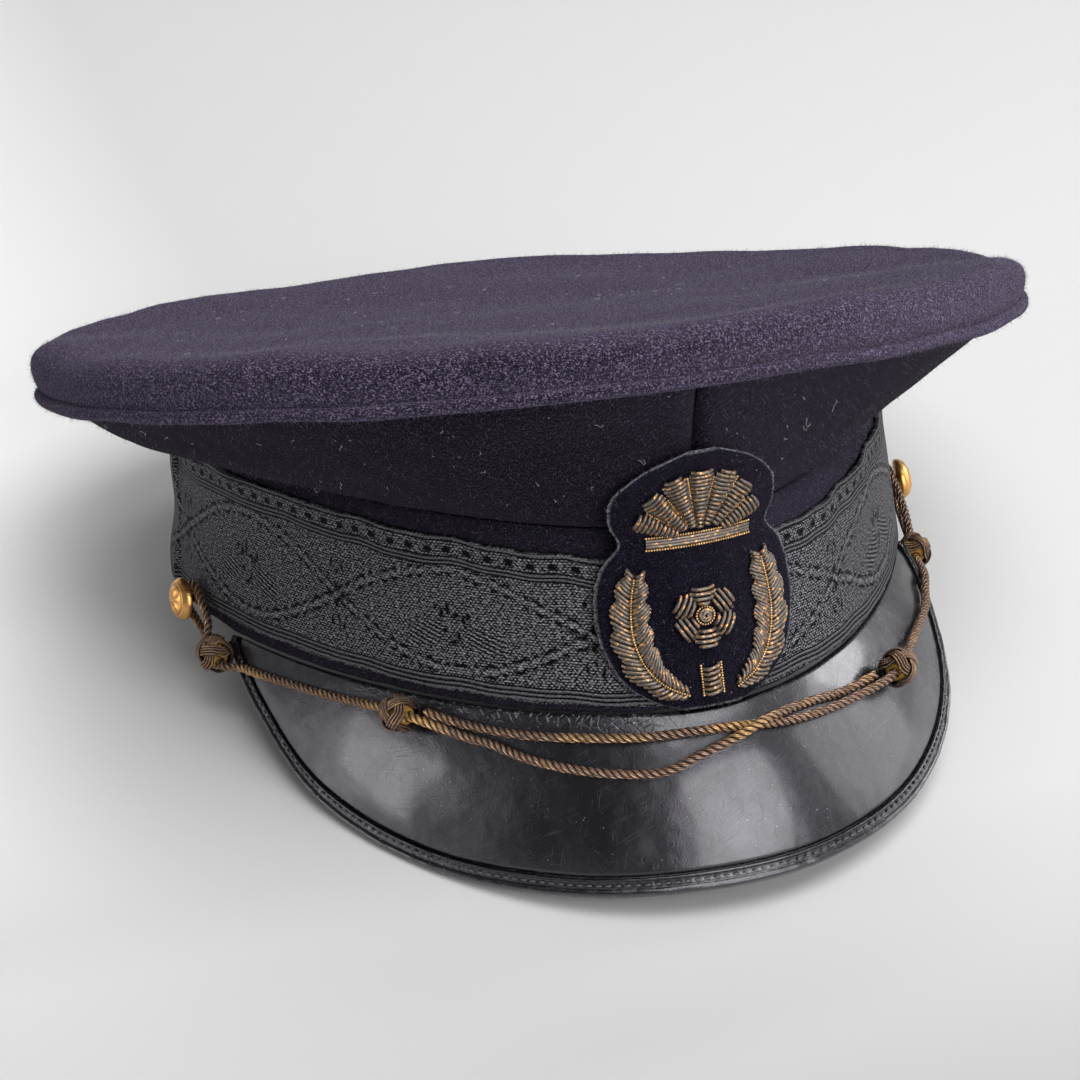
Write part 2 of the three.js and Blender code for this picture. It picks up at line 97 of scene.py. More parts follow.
# The rim's section from the seam to the ridge: outwards, and upwards as a share of the rim's height.
RIM_SECTION = [
    (-0.7, -0.08),
    (0.55, 0.12),
    (1.1, 0.36),
    (1.1, 0.6),
    (0.0, 0.82),
    (-2.6, 0.96),
    (-6.1, 1.0),
    (-11.0, 0.94),
]
# The crown's top inside the rim: share of the way out from the middle, and dip below the rim.
TOP_SECTION = [(0.78, 2.0), (0.55, 3.0), (0.28, 3.4), (0.02, 3.5)]

# The badge's own frame, and the outline of its backing: height, left edge, right edge.
BADGE = {"bottom": 0.6, "bend_at": 22.0, "lean": -0.149, "curl": 0.0088, "seat": 0.9, "thickness": 1.2}
BACKING_OUTLINE = [
    (0.0, -6.0, 6.0),
    (3.0, -13.0, 13.0),
    (8.0, -18.5, 18.5),
    (16.0, -21.5, 21.5),
    (25.0, -21.8, 21.8),
    (32.0, -19.8, 19.8),
    (37.0, -16.4, 16.4),
    (42.0, -18.2, 18.2),
    (48.0, -17.6, 17.6),
    (54.0, -11.5, 11.5),
    (58.0, -3.0, 3.0),
]
# A spray's spine from its stem to its tip: across, height, half of its width.
SPRAY_SPINE = [
    (-5.2, 3.6, 1.6),
    (-9.8, 6.4, 3.5),
    (-13.2, 11.0, 4.2),
    (-14.9, 17.5, 4.0),
    (-14.6, 24.5, 3.2),
    (-13.2, 31.5, 1.4),
]
ROSETTE = {"height": 20.0, "radius": 7.2, "petals": 6}
FAN = {
    "root_height": 36.6,
    "clear": 3.4,
    "lobes": 7,
    "spread_deg": 64.0,
    "middle_length": 17.2,
    "side_length": 14.6,
}
BAR = {"low": 35.9, "high": 38.7, "half_width": 10.9}
TIE = {"low": 3.0, "high": 9.4, "half_width": 1.7}

BUTTON = {"radius": 5.1, "edge": 0.7, "rise": 2.7, "shank_radius": 1.1, "shank_length": 3.4, "tilt_deg": 8.0}
BUTTON_PLACES = {"button_right_side": (-92.8, 5.0), "button_left_side": (91.5, 2.6)}
BUTTON_SEAT = 0.9

# Each cord's route, from the face of its outer knot round the button's shank to its last knot.
CORD_ROUTES = {
    "cord_from_right": [
        (-89.97, -8.28, -2.88),
        (-90, -5, -1.6),
        (-90.8, 1.9, 0.9),
        (-91.4, 6.1, 3),
        (-91, 6.8, 6.6),
        (-90.1, 3.7, 8.5),
        (-89.5, -0.5, 6.4),
        (-89.2, -6.3, 2.3),
        (-90.41, -10.03, -1.25),
        (-89.75, -13.93, -2.95),
        (-89.1, -17.82, -4.66),
        (-85.4, -22.3, -4.3),
        (-82.8, -28.6, -4),
        (-78.75, -37.43, -3.57),
        (-71.08, -51.64, -3.24),
        (-62.64, -68.21, -1.64),
        (-60.6, -72, -1.7),
        (-58.56, -75.79, -1.76),
        (-49.42, -83.28, -5.2),
        (-44.92, -88.2, -6.02),
        (-39.8, -94.3, -7.7),
        (-31.6, -101.7, -9.2),
        (-22.8, -107.2, -10),
        (-13.5, -110.9, -9.9),
        (-5.1, -112, -7),
        (2.9, -112.6, -4.4),
        (9.54, -110.69, -2.87),
        (19.84, -105.34, -3.62),
        (33.61, -98.89, -5.43),
        (42.19, -94.58, -5.19),
    ],
    "cord_from_left": [
        (84.78, -22.93, -6.72),
        (86.31, -16.58, -4.95),
        (90.3, -0.9, -1.1),
        (91.2, 3.6, 0.2),
        (91, 4.9, 3.7),
        (90, 2.2, 6.1),
        (89.2, -2.3, 4.8),
        (86.99, -13.61, 0.63),
        (84.13, -23.95, -4.6),
        (82.8, -28, -5.2),
        (81.47, -32.05, -5.8),
        (77.1, -46.22, -4.66),
        (74.41, -52.01, -5.79),
        (71.03, -59.22, -6.58),
        (63.65, -70.44, -6.85),
        (51.94, -88.38, -5.79),
        (49.1, -91.6, -6),
        (46.26, -94.82, -6.21),
        (27.87, -103.57, -6.69),
        (14.85, -107.89, -5.42),
        (3.5, -108.96, -3.75),
        (-7, -108.1, -3.3),
        (-16.8, -105.5, -3.5),
        (-27.1, -100.4, -3.5),
        (-38.79, -92.08, -3.62),
        (-49.44, -81.09, -2.96),
        (-55.73, -75.52, -1.13),
    ],
}
# The knots: the cord that passes through, and at which point of its route.
KNOTS = {
    "knot_right_outer": ("cord_from_right", 9),
    "knot_right_inner": ("cord_from_right", 16),
    "knot_left_outer": ("cord_from_left", 9),
    "knot_left_inner": ("cord_from_left", 16),
}
KNOT = {"length": 7.6, "diameter": 8.4, "bore": 3.0}


# Sizes and colours that a user would change.

class CapClothSettings(bpy.types.PropertyGroup):
    """The wool cloth of the crown, the quarters and the band."""

    colour: FloatVectorProperty(
        name="Cloth", description="Colour of the wool", subtype="COLOR", default=(0.0125, 0.0085, 0.019),
        min=0, max=1,
    )
    fibre_colour: FloatVectorProperty(
        name="Fibre", description="Colour of the raised fibres", subtype="COLOR",
        default=(0.105, 0.085, 0.135), min=0, max=1,
    )
    fibre_length: FloatProperty(
        name="Fibre length", description="Length of the raised fibres", unit="LENGTH", default=0.0011,
    )
    fibre_density: FloatProperty(
        name="Fibre density", description="Raised fibres on a square metre", default=620000.0,
    )


class CapBraidSettings(bpy.types.PropertyGroup):
    """The woven braid."""

    colour: FloatVectorProperty(
        name="Braid", description="Colour of the woven braid", subtype="COLOR",
        default=(0.03, 0.0295, 0.033), min=0, max=1,
    )
    repeat: FloatProperty(
        name="Repeat", description="Length of one lozenge of the pattern", unit="LENGTH", default=0.0655,
    )
    relief: FloatProperty(
        name="Relief", description="Height of the woven figures", unit="LENGTH", default=0.0002,
    )


class CapPeakSettings(bpy.types.PropertyGroup):
    """The leather peak and its stitched edge."""

    colour: FloatVectorProperty(
        name="Leather", description="Colour of the leather", subtype="COLOR",
        default=(0.0018, 0.0016, 0.0032), min=0, max=1,
    )
    stitch_pitch: FloatProperty(
        name="Stitch pitch", description="Distance from stitch to stitch", unit="LENGTH", default=0.0021,
    )


class CapCordSettings(bpy.types.PropertyGroup):
    """The metal cords with their knots and buttons."""

    thread: FloatVectorProperty(
        name="Thread", description="Colour of the tarnished thread", subtype="COLOR",
        default=(0.39, 0.245, 0.175), min=0, max=1,
    )
    # The glint colour paints the thread's gilt patches bright, as painted glints.
    glint: FloatVectorProperty(
        name="Glint", description="Colour of the bright gilt patches", subtype="COLOR",
        default=(0.74, 0.44, 0.17), min=0, max=1,
    )
    lay_length: FloatProperty(
        name="Lay", description="Length of one turn of the twist", unit="LENGTH", default=0.0048,
    )


class CapBadgeSettings(bpy.types.PropertyGroup):
    """The bullion badge."""

    wire: FloatVectorProperty(
        name="Wire", description="Colour of the tarnished bullion", subtype="COLOR",
        default=(0.15, 0.127, 0.11), min=0, max=1,
    )
    rib_pitch: FloatProperty(
        name="Rib pitch", description="Distance from rib to rib", unit="LENGTH", default=0.00092,
    )
    coil_pitch: FloatProperty(
        name="Coil pitch", description="Distance between the turns of a coil", unit="LENGTH", default=0.00042,
    )


class CapStageSettings(bpy.types.PropertyGroup):
    """The floor, the lights and the camera."""

    floor_colour: FloatVectorProperty(
        name="Floor", description="Colour of the floor", subtype="COLOR", default=(0.57, 0.57, 0.57),
        min=0, max=1,
    )
    key_power: FloatProperty(
        name="Key light", description="Power of the key light", unit="POWER", default=9.0,
    )
    lens: FloatProperty(name="Lens", description="Focal length of the camera in mm", default=93.08)
    seed: IntProperty(name="Seed", description="Seed of every random draw", default=7)


# Shape functions of the cap's own frame, in millimetres, on whole arrays of points.

def smooth(before, start, end, after, share):
    """A smooth curve through four values in a row, between the middle two."""
    bend = 3 * (start - end) + after - before
    slope = 2 * before - 5 * start + 4 * end - after + share * bend
    return start + 0.5 * share * (end - before + share * slope)


def around(column, angle):
    """A column of the table round the cap, at angles in radians from the front."""
    values = np.array(AROUND[column])
    count = len(values)
    place = (np.asarray(angle) / TURN + 0.5) * count % count
    row = np.floor(place).astype(int)
    before, start, end, after = (values[(row + step) % count] for step in (-1, 0, 1, 2))
    return smooth(before, start, end, after, place - row)


def refine(control, per_span):
    """Points on a smooth curve through control points, whose last axis but one is the curve's."""
    first = 2 * control[..., :1, :] - control[..., 1:2, :]
    last = 2 * control[..., -1:, :] - control[..., -2:-1, :]
    whole = np.concatenate([first, control, last], axis=-2)
    shares = np.arange(per_span) / per_span
    spans = []
    for span in range(control.shape[-2] - 1):
        four = [whole[..., span + step, None, :] for step in range(4)]
        spans.append(smooth(*four, shares[:, None]))
    return np.concatenate([*spans, control[..., -1:, :]], axis=-2)


def unit(vectors):
    return vectors / np.linalg.norm(vectors, axis=-1, keepdims=True)


def running_length(points):
    """The length of a line of points from its start to each of them."""
    return np.concatenate([[0], np.cumsum(np.linalg.norm(np.diff(points, axis=0), axis=1))])


def full_turn(count):
    """Even steps of angle all the way round from the back, without the last one that closes the ring."""
    return np.linspace(-math.pi, math.pi, count + 1)[:-1]


def interpolate(table, share):
    """Rows of a table at shares from 0 to 1 along it, on a smooth curve."""
    fine = refine(np.array(table, float), 16)
    place = np.clip(share, 0, 1) * (len(fine) - 1)
    return np.stack([np.interp(place, np.arange(len(fine)), fine[:, k]) for k in range(fine.shape[1])], -1)


def band_surface(angle, height):
    share = height / BAND_TOP["height"]
    half_width = BAND["half_width"] + (BAND_TOP["half_width"] - BAND["half_width"]) * share
    front = BAND["front"] + (BAND_TOP["front"] - BAND["front"]) * share
    back = BAND["back"] + (BAND_TOP["back"] - BAND["back"]) * share
    ahead = np.cos(angle)
    x = half_width * np.sin(angle) * (1 - BAND["egg"] * ahead)
    y = -np.where(ahead > 0, front, back) * ahead
    return np.stack([x, y, height + 0 * x], -1)


def band_normal(angle, height):
    step = 1e-3
    tangent = band_surface(angle + step, height) - band_surface(angle - step, height)
    return unit(np.stack([tangent[..., 1], -tangent[..., 0], 0 * tangent[..., 0]], -1))


def band_point(angle, height, out):
    return band_surface(angle, height) + band_normal(angle, height) * np.asarray(out)[..., None]


def crown_point(angle, out, up, share=1.0):
    """A point of the crown's frame, out from and up from its seam, shrunk towards its middle by share."""
    power = 2 / CROWN["squareness"]
    side = np.sign(np.sin(angle)) * np.abs(np.sin(angle)) ** power
    ahead = np.sign(np.cos(angle)) * np.abs(np.cos(angle)) ** power
    reach = np.where(ahead > 0, CROWN["front"], CROWN["back"])
    x = (CROWN["half_width"] + out) * side * (1 - CROWN["egg"] * np.cos(angle)) * share
    y = -(reach + out) * ahead * share
    z = around("seam_rise", angle) * share + up
    tilt = math.radians(CROWN["tilt_deg"])
    forward = CROWN["set_back"] + y * math.cos(tilt) + z * math.sin(tilt)
    return np.stack([x, forward, CROWN["height"] - y * math.sin(tilt) + z * math.cos(tilt)], -1)


def peak_width(place):
    last = len(PEAK_WIDTHS) - 1
    widths = np.array([PEAK_WIDTHS[1], *PEAK_WIDTHS, 2 * PEAK_WIDTHS[-1] - PEAK_WIDTHS[-2]])
    at = np.clip(np.abs(place), 0, 1) * last
    row = np.minimum(np.floor(at).astype(int), last - 1)
    return smooth(widths[row], widths[row + 1], widths[row + 2], widths[row + 3], at - row)


def peak_point(place, share, out):
    """A point of the peak: place from -1 to 1 along it, share from the band to the edge, out off its face."""
    turn = np.sin(place * math.pi / 2)
    angle = np.radians(PEAK["turn_deg"] + turn * PEAK["half_angle_deg"])
    outwards = unit(band_normal(angle, 0 * angle) + np.array([0, -LEATHER["forward"], 0]))
    width = peak_width(place)
    middle, end = PEAK["slope_deg"], PEAK["end_slope_deg"]
    slope = np.radians(middle + (end - middle) * turn * turn + PEAK["skew_deg"] * turn)
    face = outwards * np.sin(slope)[..., None]
    face[..., 2] += np.cos(slope)
    bulge = 4 * share * (1 - share) * LEATHER["bulge"] * width / PEAK_WIDTHS[0]
    point = band_surface(angle, 0 * angle) + outwards * (width * share * np.cos(slope))[..., None]
    point[..., 2] -= width * share * np.sin(slope)
    return point + face * (bulge + out)[..., None]


def badge_point(across, height, out):
    """A point of the badge: across and up from the middle of its bottom edge, out off its seat."""
    across, height, out = np.broadcast_arrays(np.asarray(across, float), height, out)
    straight = np.minimum(height, BADGE["bend_at"])
    angle = across / (BAND["half_width"] * (1 - BAND["egg"]))
    point = band_point(angle, BADGE["bottom"] + straight, BADGE["seat"] + out)
    above = height - straight
    point[..., 2] += above
    point[..., 1] -= above * BADGE["lean"] + above * above * BADGE["curl"]
    return point


def placed(points):
    """Points of the cap's frame in millimetres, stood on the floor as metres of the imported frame."""
    pitch = math.radians(REST["pitch_deg"])
    x, y, z = np.moveaxis(np.asarray(points, float), -1, 0)
    forward = y * math.cos(pitch) + z * math.sin(pitch) + REST["forward"]
    up = z * math.cos(pitch) - y * math.sin(pitch) + REST["lift"]
    return np.stack([x, forward, up], -1) * MM


def ripple(u, v, seed, waves, shortest, longest):
    """Smooth random relief from -1 to 1 or so: a sum of waves between two wavelengths, the same each run."""
    draw = np.random.default_rng(seed)
    total = 0 * np.asarray(u, float)
    for _ in range(waves):
        length = shortest * (longest / shortest) ** draw.random()
        heading, phase = draw.random(2) * TURN
        along = u * math.cos(heading) + v * math.sin(heading)
        total = total + np.sin(along * TURN / length + phase)
    return total / math.sqrt(waves)


def ring_ripple(angle, radius, *waves):
    """Random relief round a circle, which closes on itself."""
    return ripple(np.cos(angle) * radius, np.sin(angle) * radius, *waves)


def bump(distance, width):
    """1 at distance 0, falling smoothly to 0 a few widths away."""
    share = distance / width
    return np.exp(share * share * -1)


# Meshes.

def grid_normals(points, closed):
    """Normals of a grid of points whose rows may close on themselves."""
    if closed:
        along = np.roll(points, -1, 0) - np.roll(points, 1, 0)
    else:
        along = np.gradient(points, axis=0)
    normals = np.cross(along, np.gradient(points, axis=1))
    return normals / np.maximum(np.linalg.norm(normals, axis=-1, keepdims=True), 1e-9)


def quads(rows, columns, closed, start=0, flip=False):
    """Faces of a grid, and for each corner its row and column, counted on past a closed grid's last row."""
    row, column = np.meshgrid(np.arange(rows if closed else rows - 1), np.arange(columns - 1), indexing="ij")
    corners = [(row, column), (row + 1, column), (row + 1, column + 1), (row, column + 1)]
    if flip:
        corners.reverse()
    places = np.stack([np.stack(c, -1) for c in corners], -2).reshape(-1, 4, 2)
    faces = start + (places[..., 0] % rows) * columns + places[..., 1]
    return faces, places


class Shape:
    """Points, faces and a UV for each face corner, gathered before they become one mesh."""

    def __init__(self):
        self.points = []
        self.faces = []
        self.uvs = []
        self.masks = []
        self.count = 0

    def add(self, points, faces, uvs=None, mask=0.0):
        points = np.asarray(points, float).reshape(-1, 3)
        self.points.append(points)
        self.masks.append(np.broadcast_to(np.asarray(mask, float).reshape(-1), (len(points),)))
        for index, face in enumerate(faces):
            self.faces.append([self.count + int(vertex) for vertex in face])
            self.uvs.append([(0.0, 0.0)] * len(face) if uvs is None else uvs[index])
        self.count += len(points)

    def volume(self):
        points = np.concatenate(self.points)
        total = 0.0
        for face in self.faces:
            for k in range(1, len(face) - 1):
                a, b, c = points[face[0]], points[face[k]], points[face[k + 1]]
                total += a @ np.cross(b, c)
        return total


def wall(outer, inner, closed, u, v, mask=0.0, domed=False):
    """A closed wall between two grids with equal rows. u is given for each row, v for each column.

    A closed wall is joined at its first and last columns. A domed one has a face over either ring of its
    last column instead, because the two rings meet nothing there.
    """
    shape = Shape()
    rows, columns = outer.shape[:2]
    depth = inner.shape[1]
    inner_start = rows * columns
    faces, places = quads(rows, columns, closed)
    inner_faces, inner_places = quads(rows, depth, closed, inner_start, flip=True)
    inner_v = np.linspace(v[0], v[-1], depth)
    all_faces = [faces, inner_faces]
    uvs = [np.stack([u[places[..., 0]], v[places[..., 1]]], -1)]
    uvs.append(np.stack([u[inner_places[..., 0]], inner_v[inner_places[..., 1]]], -1))
    row = np.arange(rows if closed else rows - 1)
    after = (row + 1) % rows
    strip_u = np.stack([u[row], u[row + 1], u[row + 1], u[row]], -1)
    for out_column, in_column in ((0, 0),) if domed else ((0, 0), (columns - 1, depth - 1)):
        a, b = row * columns + out_column, after * columns + out_column
        c, d = inner_start + after * depth + in_column, inner_start + row * depth + in_column
        all_faces.append(np.stack([a, b, c, d] if out_column else [d, c, b, a], -1))
        uvs.append(np.stack([strip_u, np.full_like(strip_u, v[out_column])], -1))
    faces = [face for part in all_faces for face in part]
    loops = [loop for part in uvs for loop in part.tolist()]
    if domed:
        faces.append([row * columns + columns - 1 for row in range(rows)])
        faces.append([inner_start + row * depth + depth - 1 for row in reversed(range(rows))])
        loops += [[(0.0, v[-1])] * rows] * 2
    if not closed:
        for end, step in ((0, 1), (rows - 1, -1)):
            ring = [end * columns + k for k in range(columns)]
            ring += [inner_start + end * depth + k for k in reversed(range(depth))]
            faces.append(ring[::step])
            loops.append([(u[end], v[0])] * len(ring))
    masks = np.broadcast_to(np.asarray(mask, float), (rows, columns)).reshape(-1)
    masks = np.concatenate([masks, np.zeros(rows * depth)])
    shape.add(np.concatenate([outer.reshape(-1, 3), inner.reshape(-1, 3)]), faces, loops, masks)
    return shape


def add_sleeve(shape, points, u, v, closed, seam_last=False):
    """Adds a row of rings of points, which closes on itself or has a cap over either end.

    Fibres are scattered in the order of the faces. seam_last puts those that close the rings at the end.
    """
    count, sides = points.shape[:2]
    rows = np.arange(count if closed else count - 1)
    grids = np.meshgrid(rows, np.arange(sides), indexing="ij")
    row, side = (grid.reshape(-1) for grid in grids)
    corners = [(row, side), (row, side + 1), (row + 1, side + 1), (row + 1, side)]
    if seam_last:
        row, side = (np.append(grid[:, :-1], grid[:, -1]) for grid in grids)
        corners = [(row, side), (row + 1, side), (row + 1, side + 1), (row, side + 1)]
    faces = np.stack([(r % count) * sides + s % sides for r, s in corners], -1).tolist()
    loops = np.stack([np.stack([u[r], v[s]], -1) for r, s in corners], 1).tolist()
    if not closed:
        last = (count - 1) * sides
        faces += [list(range(sides))[::-1], [last + k for k in range(sides)]]
        loops += [[(u[end], v[len(v) // 2])] * sides for end in (0, count - 1)]
    shape.add(points, faces, loops)


def carried_frame(path, start=(0.2, 0.3, 0.9)):
    """Two directions square to a path at each of its points, carried along it without twist."""
    tangent = unit(np.gradient(path, axis=0))
    side = np.cross(tangent[0], start)
    first = np.empty_like(path)
    for k in range(len(path)):
        side = unit(side - tangent[k] * (side @ tangent[k]))
        first[k] = side
    return first, np.cross(tangent, first)


def tube(shape, path, radius, sides, closed=False, up=None):
    """Adds a round tube along a path. up may give a direction for each point that the section turns with."""
    if closed:
        tangent = unit(np.roll(path, -1, 0) - np.roll(path, 1, 0))
    else:
        tangent = unit(np.gradient(path, axis=0))
    if up is None:
        up, _ = carried_frame(path, (0.31, 0.52, 0.79))
    up = unit(up - tangent * np.sum(up * tangent, 1, keepdims=True))
    across = np.cross(tangent, up)
    turn = (np.arange(sides) / sides * TURN)[:, None]
    ring = up[:, None] * np.cos(turn) + across[:, None] * np.sin(turn)
    u = running_length(path)
    u = np.append(u, 2 * u[-1] - u[-2])
    add_sleeve(shape, path[:, None] + ring * radius, u, np.arange(sides + 1) / sides, closed)


def lathe(shape, profile, sides, mask, relief):
    """Adds a solid of revolution about Z. The profile runs from the axis, round the outside, to the axis."""
    turn = np.arange(sides) / sides * TURN
    reach, height = (profile[1:-1, k, None] + 0 * turn for k in (0, 1))
    height = height + relief(reach, turn, height)
    rings = np.stack([reach * np.cos(turn), reach * np.sin(turn), height], -1)
    bottom = len(reach) * sides
    top, last = bottom + 1, bottom - sides
    faces = []
    for k in range(sides):
        after = (k + 1) % sides
        for ring in range(0, last, sides):
            faces.append([ring + k, ring + after, ring + sides + after, ring + sides + k])
        faces.append([bottom, after, k])
        faces.append([top, last + k, last + after])
    ends = [[0, 0, profile[0, 1]], [0, 0, profile[-1, 1]]]
    masks = np.append(np.repeat(mask[1:-1], sides), [mask[0], mask[-1]])
    shape.add(np.concatenate([rings.reshape(-1, 3), ends]), faces, None, masks)


def turned(points, origin, axis):
    """Points about Z, turned so that Z looks along axis, and moved to origin."""
    rotation = np.array(Vector((0, 0, 1)).rotation_difference(Vector(axis)).to_matrix())
    return np.asarray(points) @ rotation.T + np.asarray(origin)


def mark(piece, name, values):
    """Gives a piece's points a named value each, for its material or its fibres to read."""
    layer = piece.data.attributes.new(name, "FLOAT", "POINT")
    layer.data.foreach_set("value", np.asarray(values, np.float32))


def make_piece(name, shape, material, replaces=()):
    """Turns a gathered shape, its faces outwards, into a smooth mesh object that rides on the cap."""
    if shape.volume() < 0:
        shape.faces = [face[::-1] for face in shape.faces]
        shape.uvs = [loop[::-1] for loop in shape.uvs]
    mesh = bpy.data.meshes.new(name)
    mesh.from_pydata(np.concatenate(shape.points).tolist(), [], shape.faces)
    layer = mesh.uv_layers.new(name="UVMap")
    layer.data.foreach_set("uv", np.array([uv for loop in shape.uvs for uv in loop], np.float32).reshape(-1))
    mesh.polygons.foreach_set("use_smooth", [True] * len(mesh.polygons))
    mesh.materials.append(material)
    mesh.update()
    piece = bpy.data.objects.new(name, mesh)
    mark(piece, "mask", np.concatenate(shape.masks))
    bpy.context.scene.collection.objects.link(piece)
    return dress(piece, replaces)


def dress(piece, replaces=()):
    """Lets a finished piece ride on the cap, in place of the solids that it stands for."""
    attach(piece, BODY)
    if replaces:
        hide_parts(*replaces)
    return piece


# Node trees.

class Tree:
    """Adds nodes to a tree: inputs are given by name or number, as a value or as another node's output."""

    def __init__(self, tree):
        self.tree = tree

    def add(self, kind, inputs=None, **settings):
        node = self.tree.nodes.new(kind)
        for name, value in settings.items():
            setattr(node, name, value)
        for name, value in (inputs or {}).items():
            if isinstance(value, bpy.types.NodeSocket):
                self.tree.links.new(value, node.inputs[name])
            else:
                node.inputs[name].default_value = value
        return node

    def math(self, operation, *values, clamp=False):
        node = self.add("ShaderNodeMath", dict(enumerate(values)), operation=operation, use_clamp=clamp)
        return node.outputs[0]

    def vector(self, operation, *values):
        node = self.add("ShaderNodeVectorMath", dict(enumerate(values)), operation=operation)
        return node.outputs[0]

    def ramp(self, value, low, high, to_low=0.0, to_high=1.0):
        node = self.add("ShaderNodeMapRange", {0: value, 1: low, 2: high, 3: to_low, 4: to_high})
        return node.outputs[0]

    def noise(self, vector, scale, detail=2.0, roughness=0.5):
        inputs = {"Vector": vector, "Scale": scale, "Detail": detail, "Roughness": roughness}
        return self.add("ShaderNodeTexNoise", inputs).outputs["Fac"]

    def mix(self, factor, first, second):
        first, second = (c if isinstance(c, bpy.types.NodeSocket) else (*c[:3], 1.0) for c in (first, second))
        inputs = {"Factor": factor, 6: first, 7: second}
        return self.add("ShaderNodeMix", inputs, data_type="RGBA").outputs[2]


class Field(np.lib.mixins.NDArrayOperatorsMixin):
    """A node's output that numpy's arithmetic carries on as math nodes, so one formula serves both."""

    OPERATIONS = {
        np.add: "ADD",
        np.subtract: "SUBTRACT",
        np.multiply: "MULTIPLY",
        np.divide: "DIVIDE",
        np.remainder: "FLOORED_MODULO",
        np.power: "POWER",
        np.absolute: "ABSOLUTE",
        np.floor: "FLOOR",
        np.sqrt: "SQRT",
        np.sin: "SINE",
        np.cos: "COSINE",
        np.exp: "EXPONENT",
        np.maximum: "MAXIMUM",
        np.minimum: "MINIMUM",
    }

    def __init__(self, tree, socket):
        self.tree = tree
        self.socket = socket

    def __array_ufunc__(self, ufunc, method, *inputs, **settings):
        values = [value.socket if isinstance(value, Field) else float(value) for value in inputs]
        return Field(self.tree, self.tree.math(self.OPERATIONS[ufunc], *values))


SOCKET_KINDS = {float: "NodeSocketFloat", int: "NodeSocketInt", tuple: "NodeSocketVector"}


def new_group(name, kind, inputs, outputs):
    """A node group with named sockets, its Tree, its inputs' values and its output node.

    An input is given as its default value, or as the kind of its socket if it has none.
    """
    group = bpy.data.node_groups.new(name, kind)
    for socket_name, value in inputs.items():
        socket_kind = value if isinstance(value, str) else SOCKET_KINDS[type(value)]
        socket = group.interface.new_socket(name=socket_name, in_out="INPUT", socket_type=socket_kind)
        if value is not socket_kind:
            socket.default_value = value
    for socket_name, socket_kind in outputs.items():
        group.interface.new_socket(name=socket_name, in_out="OUTPUT", socket_type=socket_kind)
    tree = Tree(group)
    return group, tree, tree.add("NodeGroupInput").outputs, tree.add("NodeGroupOutput")


def shader_group(name, inputs, outputs):
    """A shader group that works on a vector and gives out plain values."""
    inputs = {"Vector": "NodeSocketVector", **inputs}
    return new_group(name, "ShaderNodeTree", inputs, dict.fromkeys(outputs, "NodeSocketFloat"))


def socket_title(name):
    """The name that a node shows for its socket, from the name that a keyword spells it with."""
    return name.replace("_", " ").title().replace("Ior", "IOR")


def join(tree, node, **sockets):
    """Links outputs to a node's sockets by their names."""
    for name, value in sockets.items():
        tree.tree.links.new(value, node.inputs[socket_title(name)])


def use_group(tree, name, build, vector, **values):
    """A node of a shared group, which is built when the first material asks for it."""
    group = bpy.data.node_groups.get(name) or build(name)
    node = tree.add("ShaderNodeGroup", node_tree=group)
    join(tree, node, vector=vector)
    for socket, value in values.items():
        node.inputs[socket_title(socket)].default_value = value
    return node


def nap_group(name):
    """Felted wool: fibres that lie along a slant, and scattered lighter ends."""
    inputs = {"Fibre Size": 0.0003, "Slant": 0.8, "Stretch": 0.3}
    group, tree, given, result = shader_group(name, inputs, ("Height", "Fibres", "Patches"))
    vector = given["Vector"]
    slanted = tree.add(
        "ShaderNodeVectorRotate", {"Vector": vector, "Angle": given["Slant"]}, rotation_type="Z_AXIS",
    ).outputs[0]
    stretch = tree.add("ShaderNodeCombineXYZ", {0: given["Stretch"], 1: 1.0, 2: 1.0}).outputs[0]
    scale = tree.math("DIVIDE", 1.0, given["Fibre Size"])
    fine = tree.noise(tree.vector("MULTIPLY", slanted, stretch), scale, 3.0, 0.65)
    tangle = tree.noise(vector, tree.math("MULTIPLY", scale, 0.55), 2.0, 0.6)
    clumps = tree.noise(vector, tree.math("MULTIPLY", scale, 0.33), 2.0, 0.7)
    near = tree.math("ADD", tree.math("MULTIPLY", fine, 0.6), tree.math("MULTIPLY", tangle, 0.25))
    height = tree.math("ADD", near, tree.math("MULTIPLY", clumps, 0.15))
    patches = tree.noise(vector, 70.0, 2.0, 0.55)
    join(tree, result, height=height, fibres=tree.ramp(height, 0.52, 0.6), patches=patches)
    return group


def dust_group(name):
    """Small pale specks, thinned out by a slow noise."""
    inputs = {"Spacing": 0.003, "Size": 0.055, "Amount": 0.5}
    group, tree, given, result = shader_group(name, inputs, ("Mask",))
    scale = tree.math("DIVIDE", 1.0, given["Spacing"])
    cells = tree.add("ShaderNodeTexVoronoi", {"Vector": given["Vector"], "Scale": scale})
    near = tree.math("LESS_THAN", cells.outputs["Distance"], given["Size"])
    kept = tree.math("LESS_THAN", tree.noise(given["Vector"], 55.0, 2.0), given["Amount"])
    join(tree, result, mask=tree.math("MULTIPLY", near, kept))
    return group


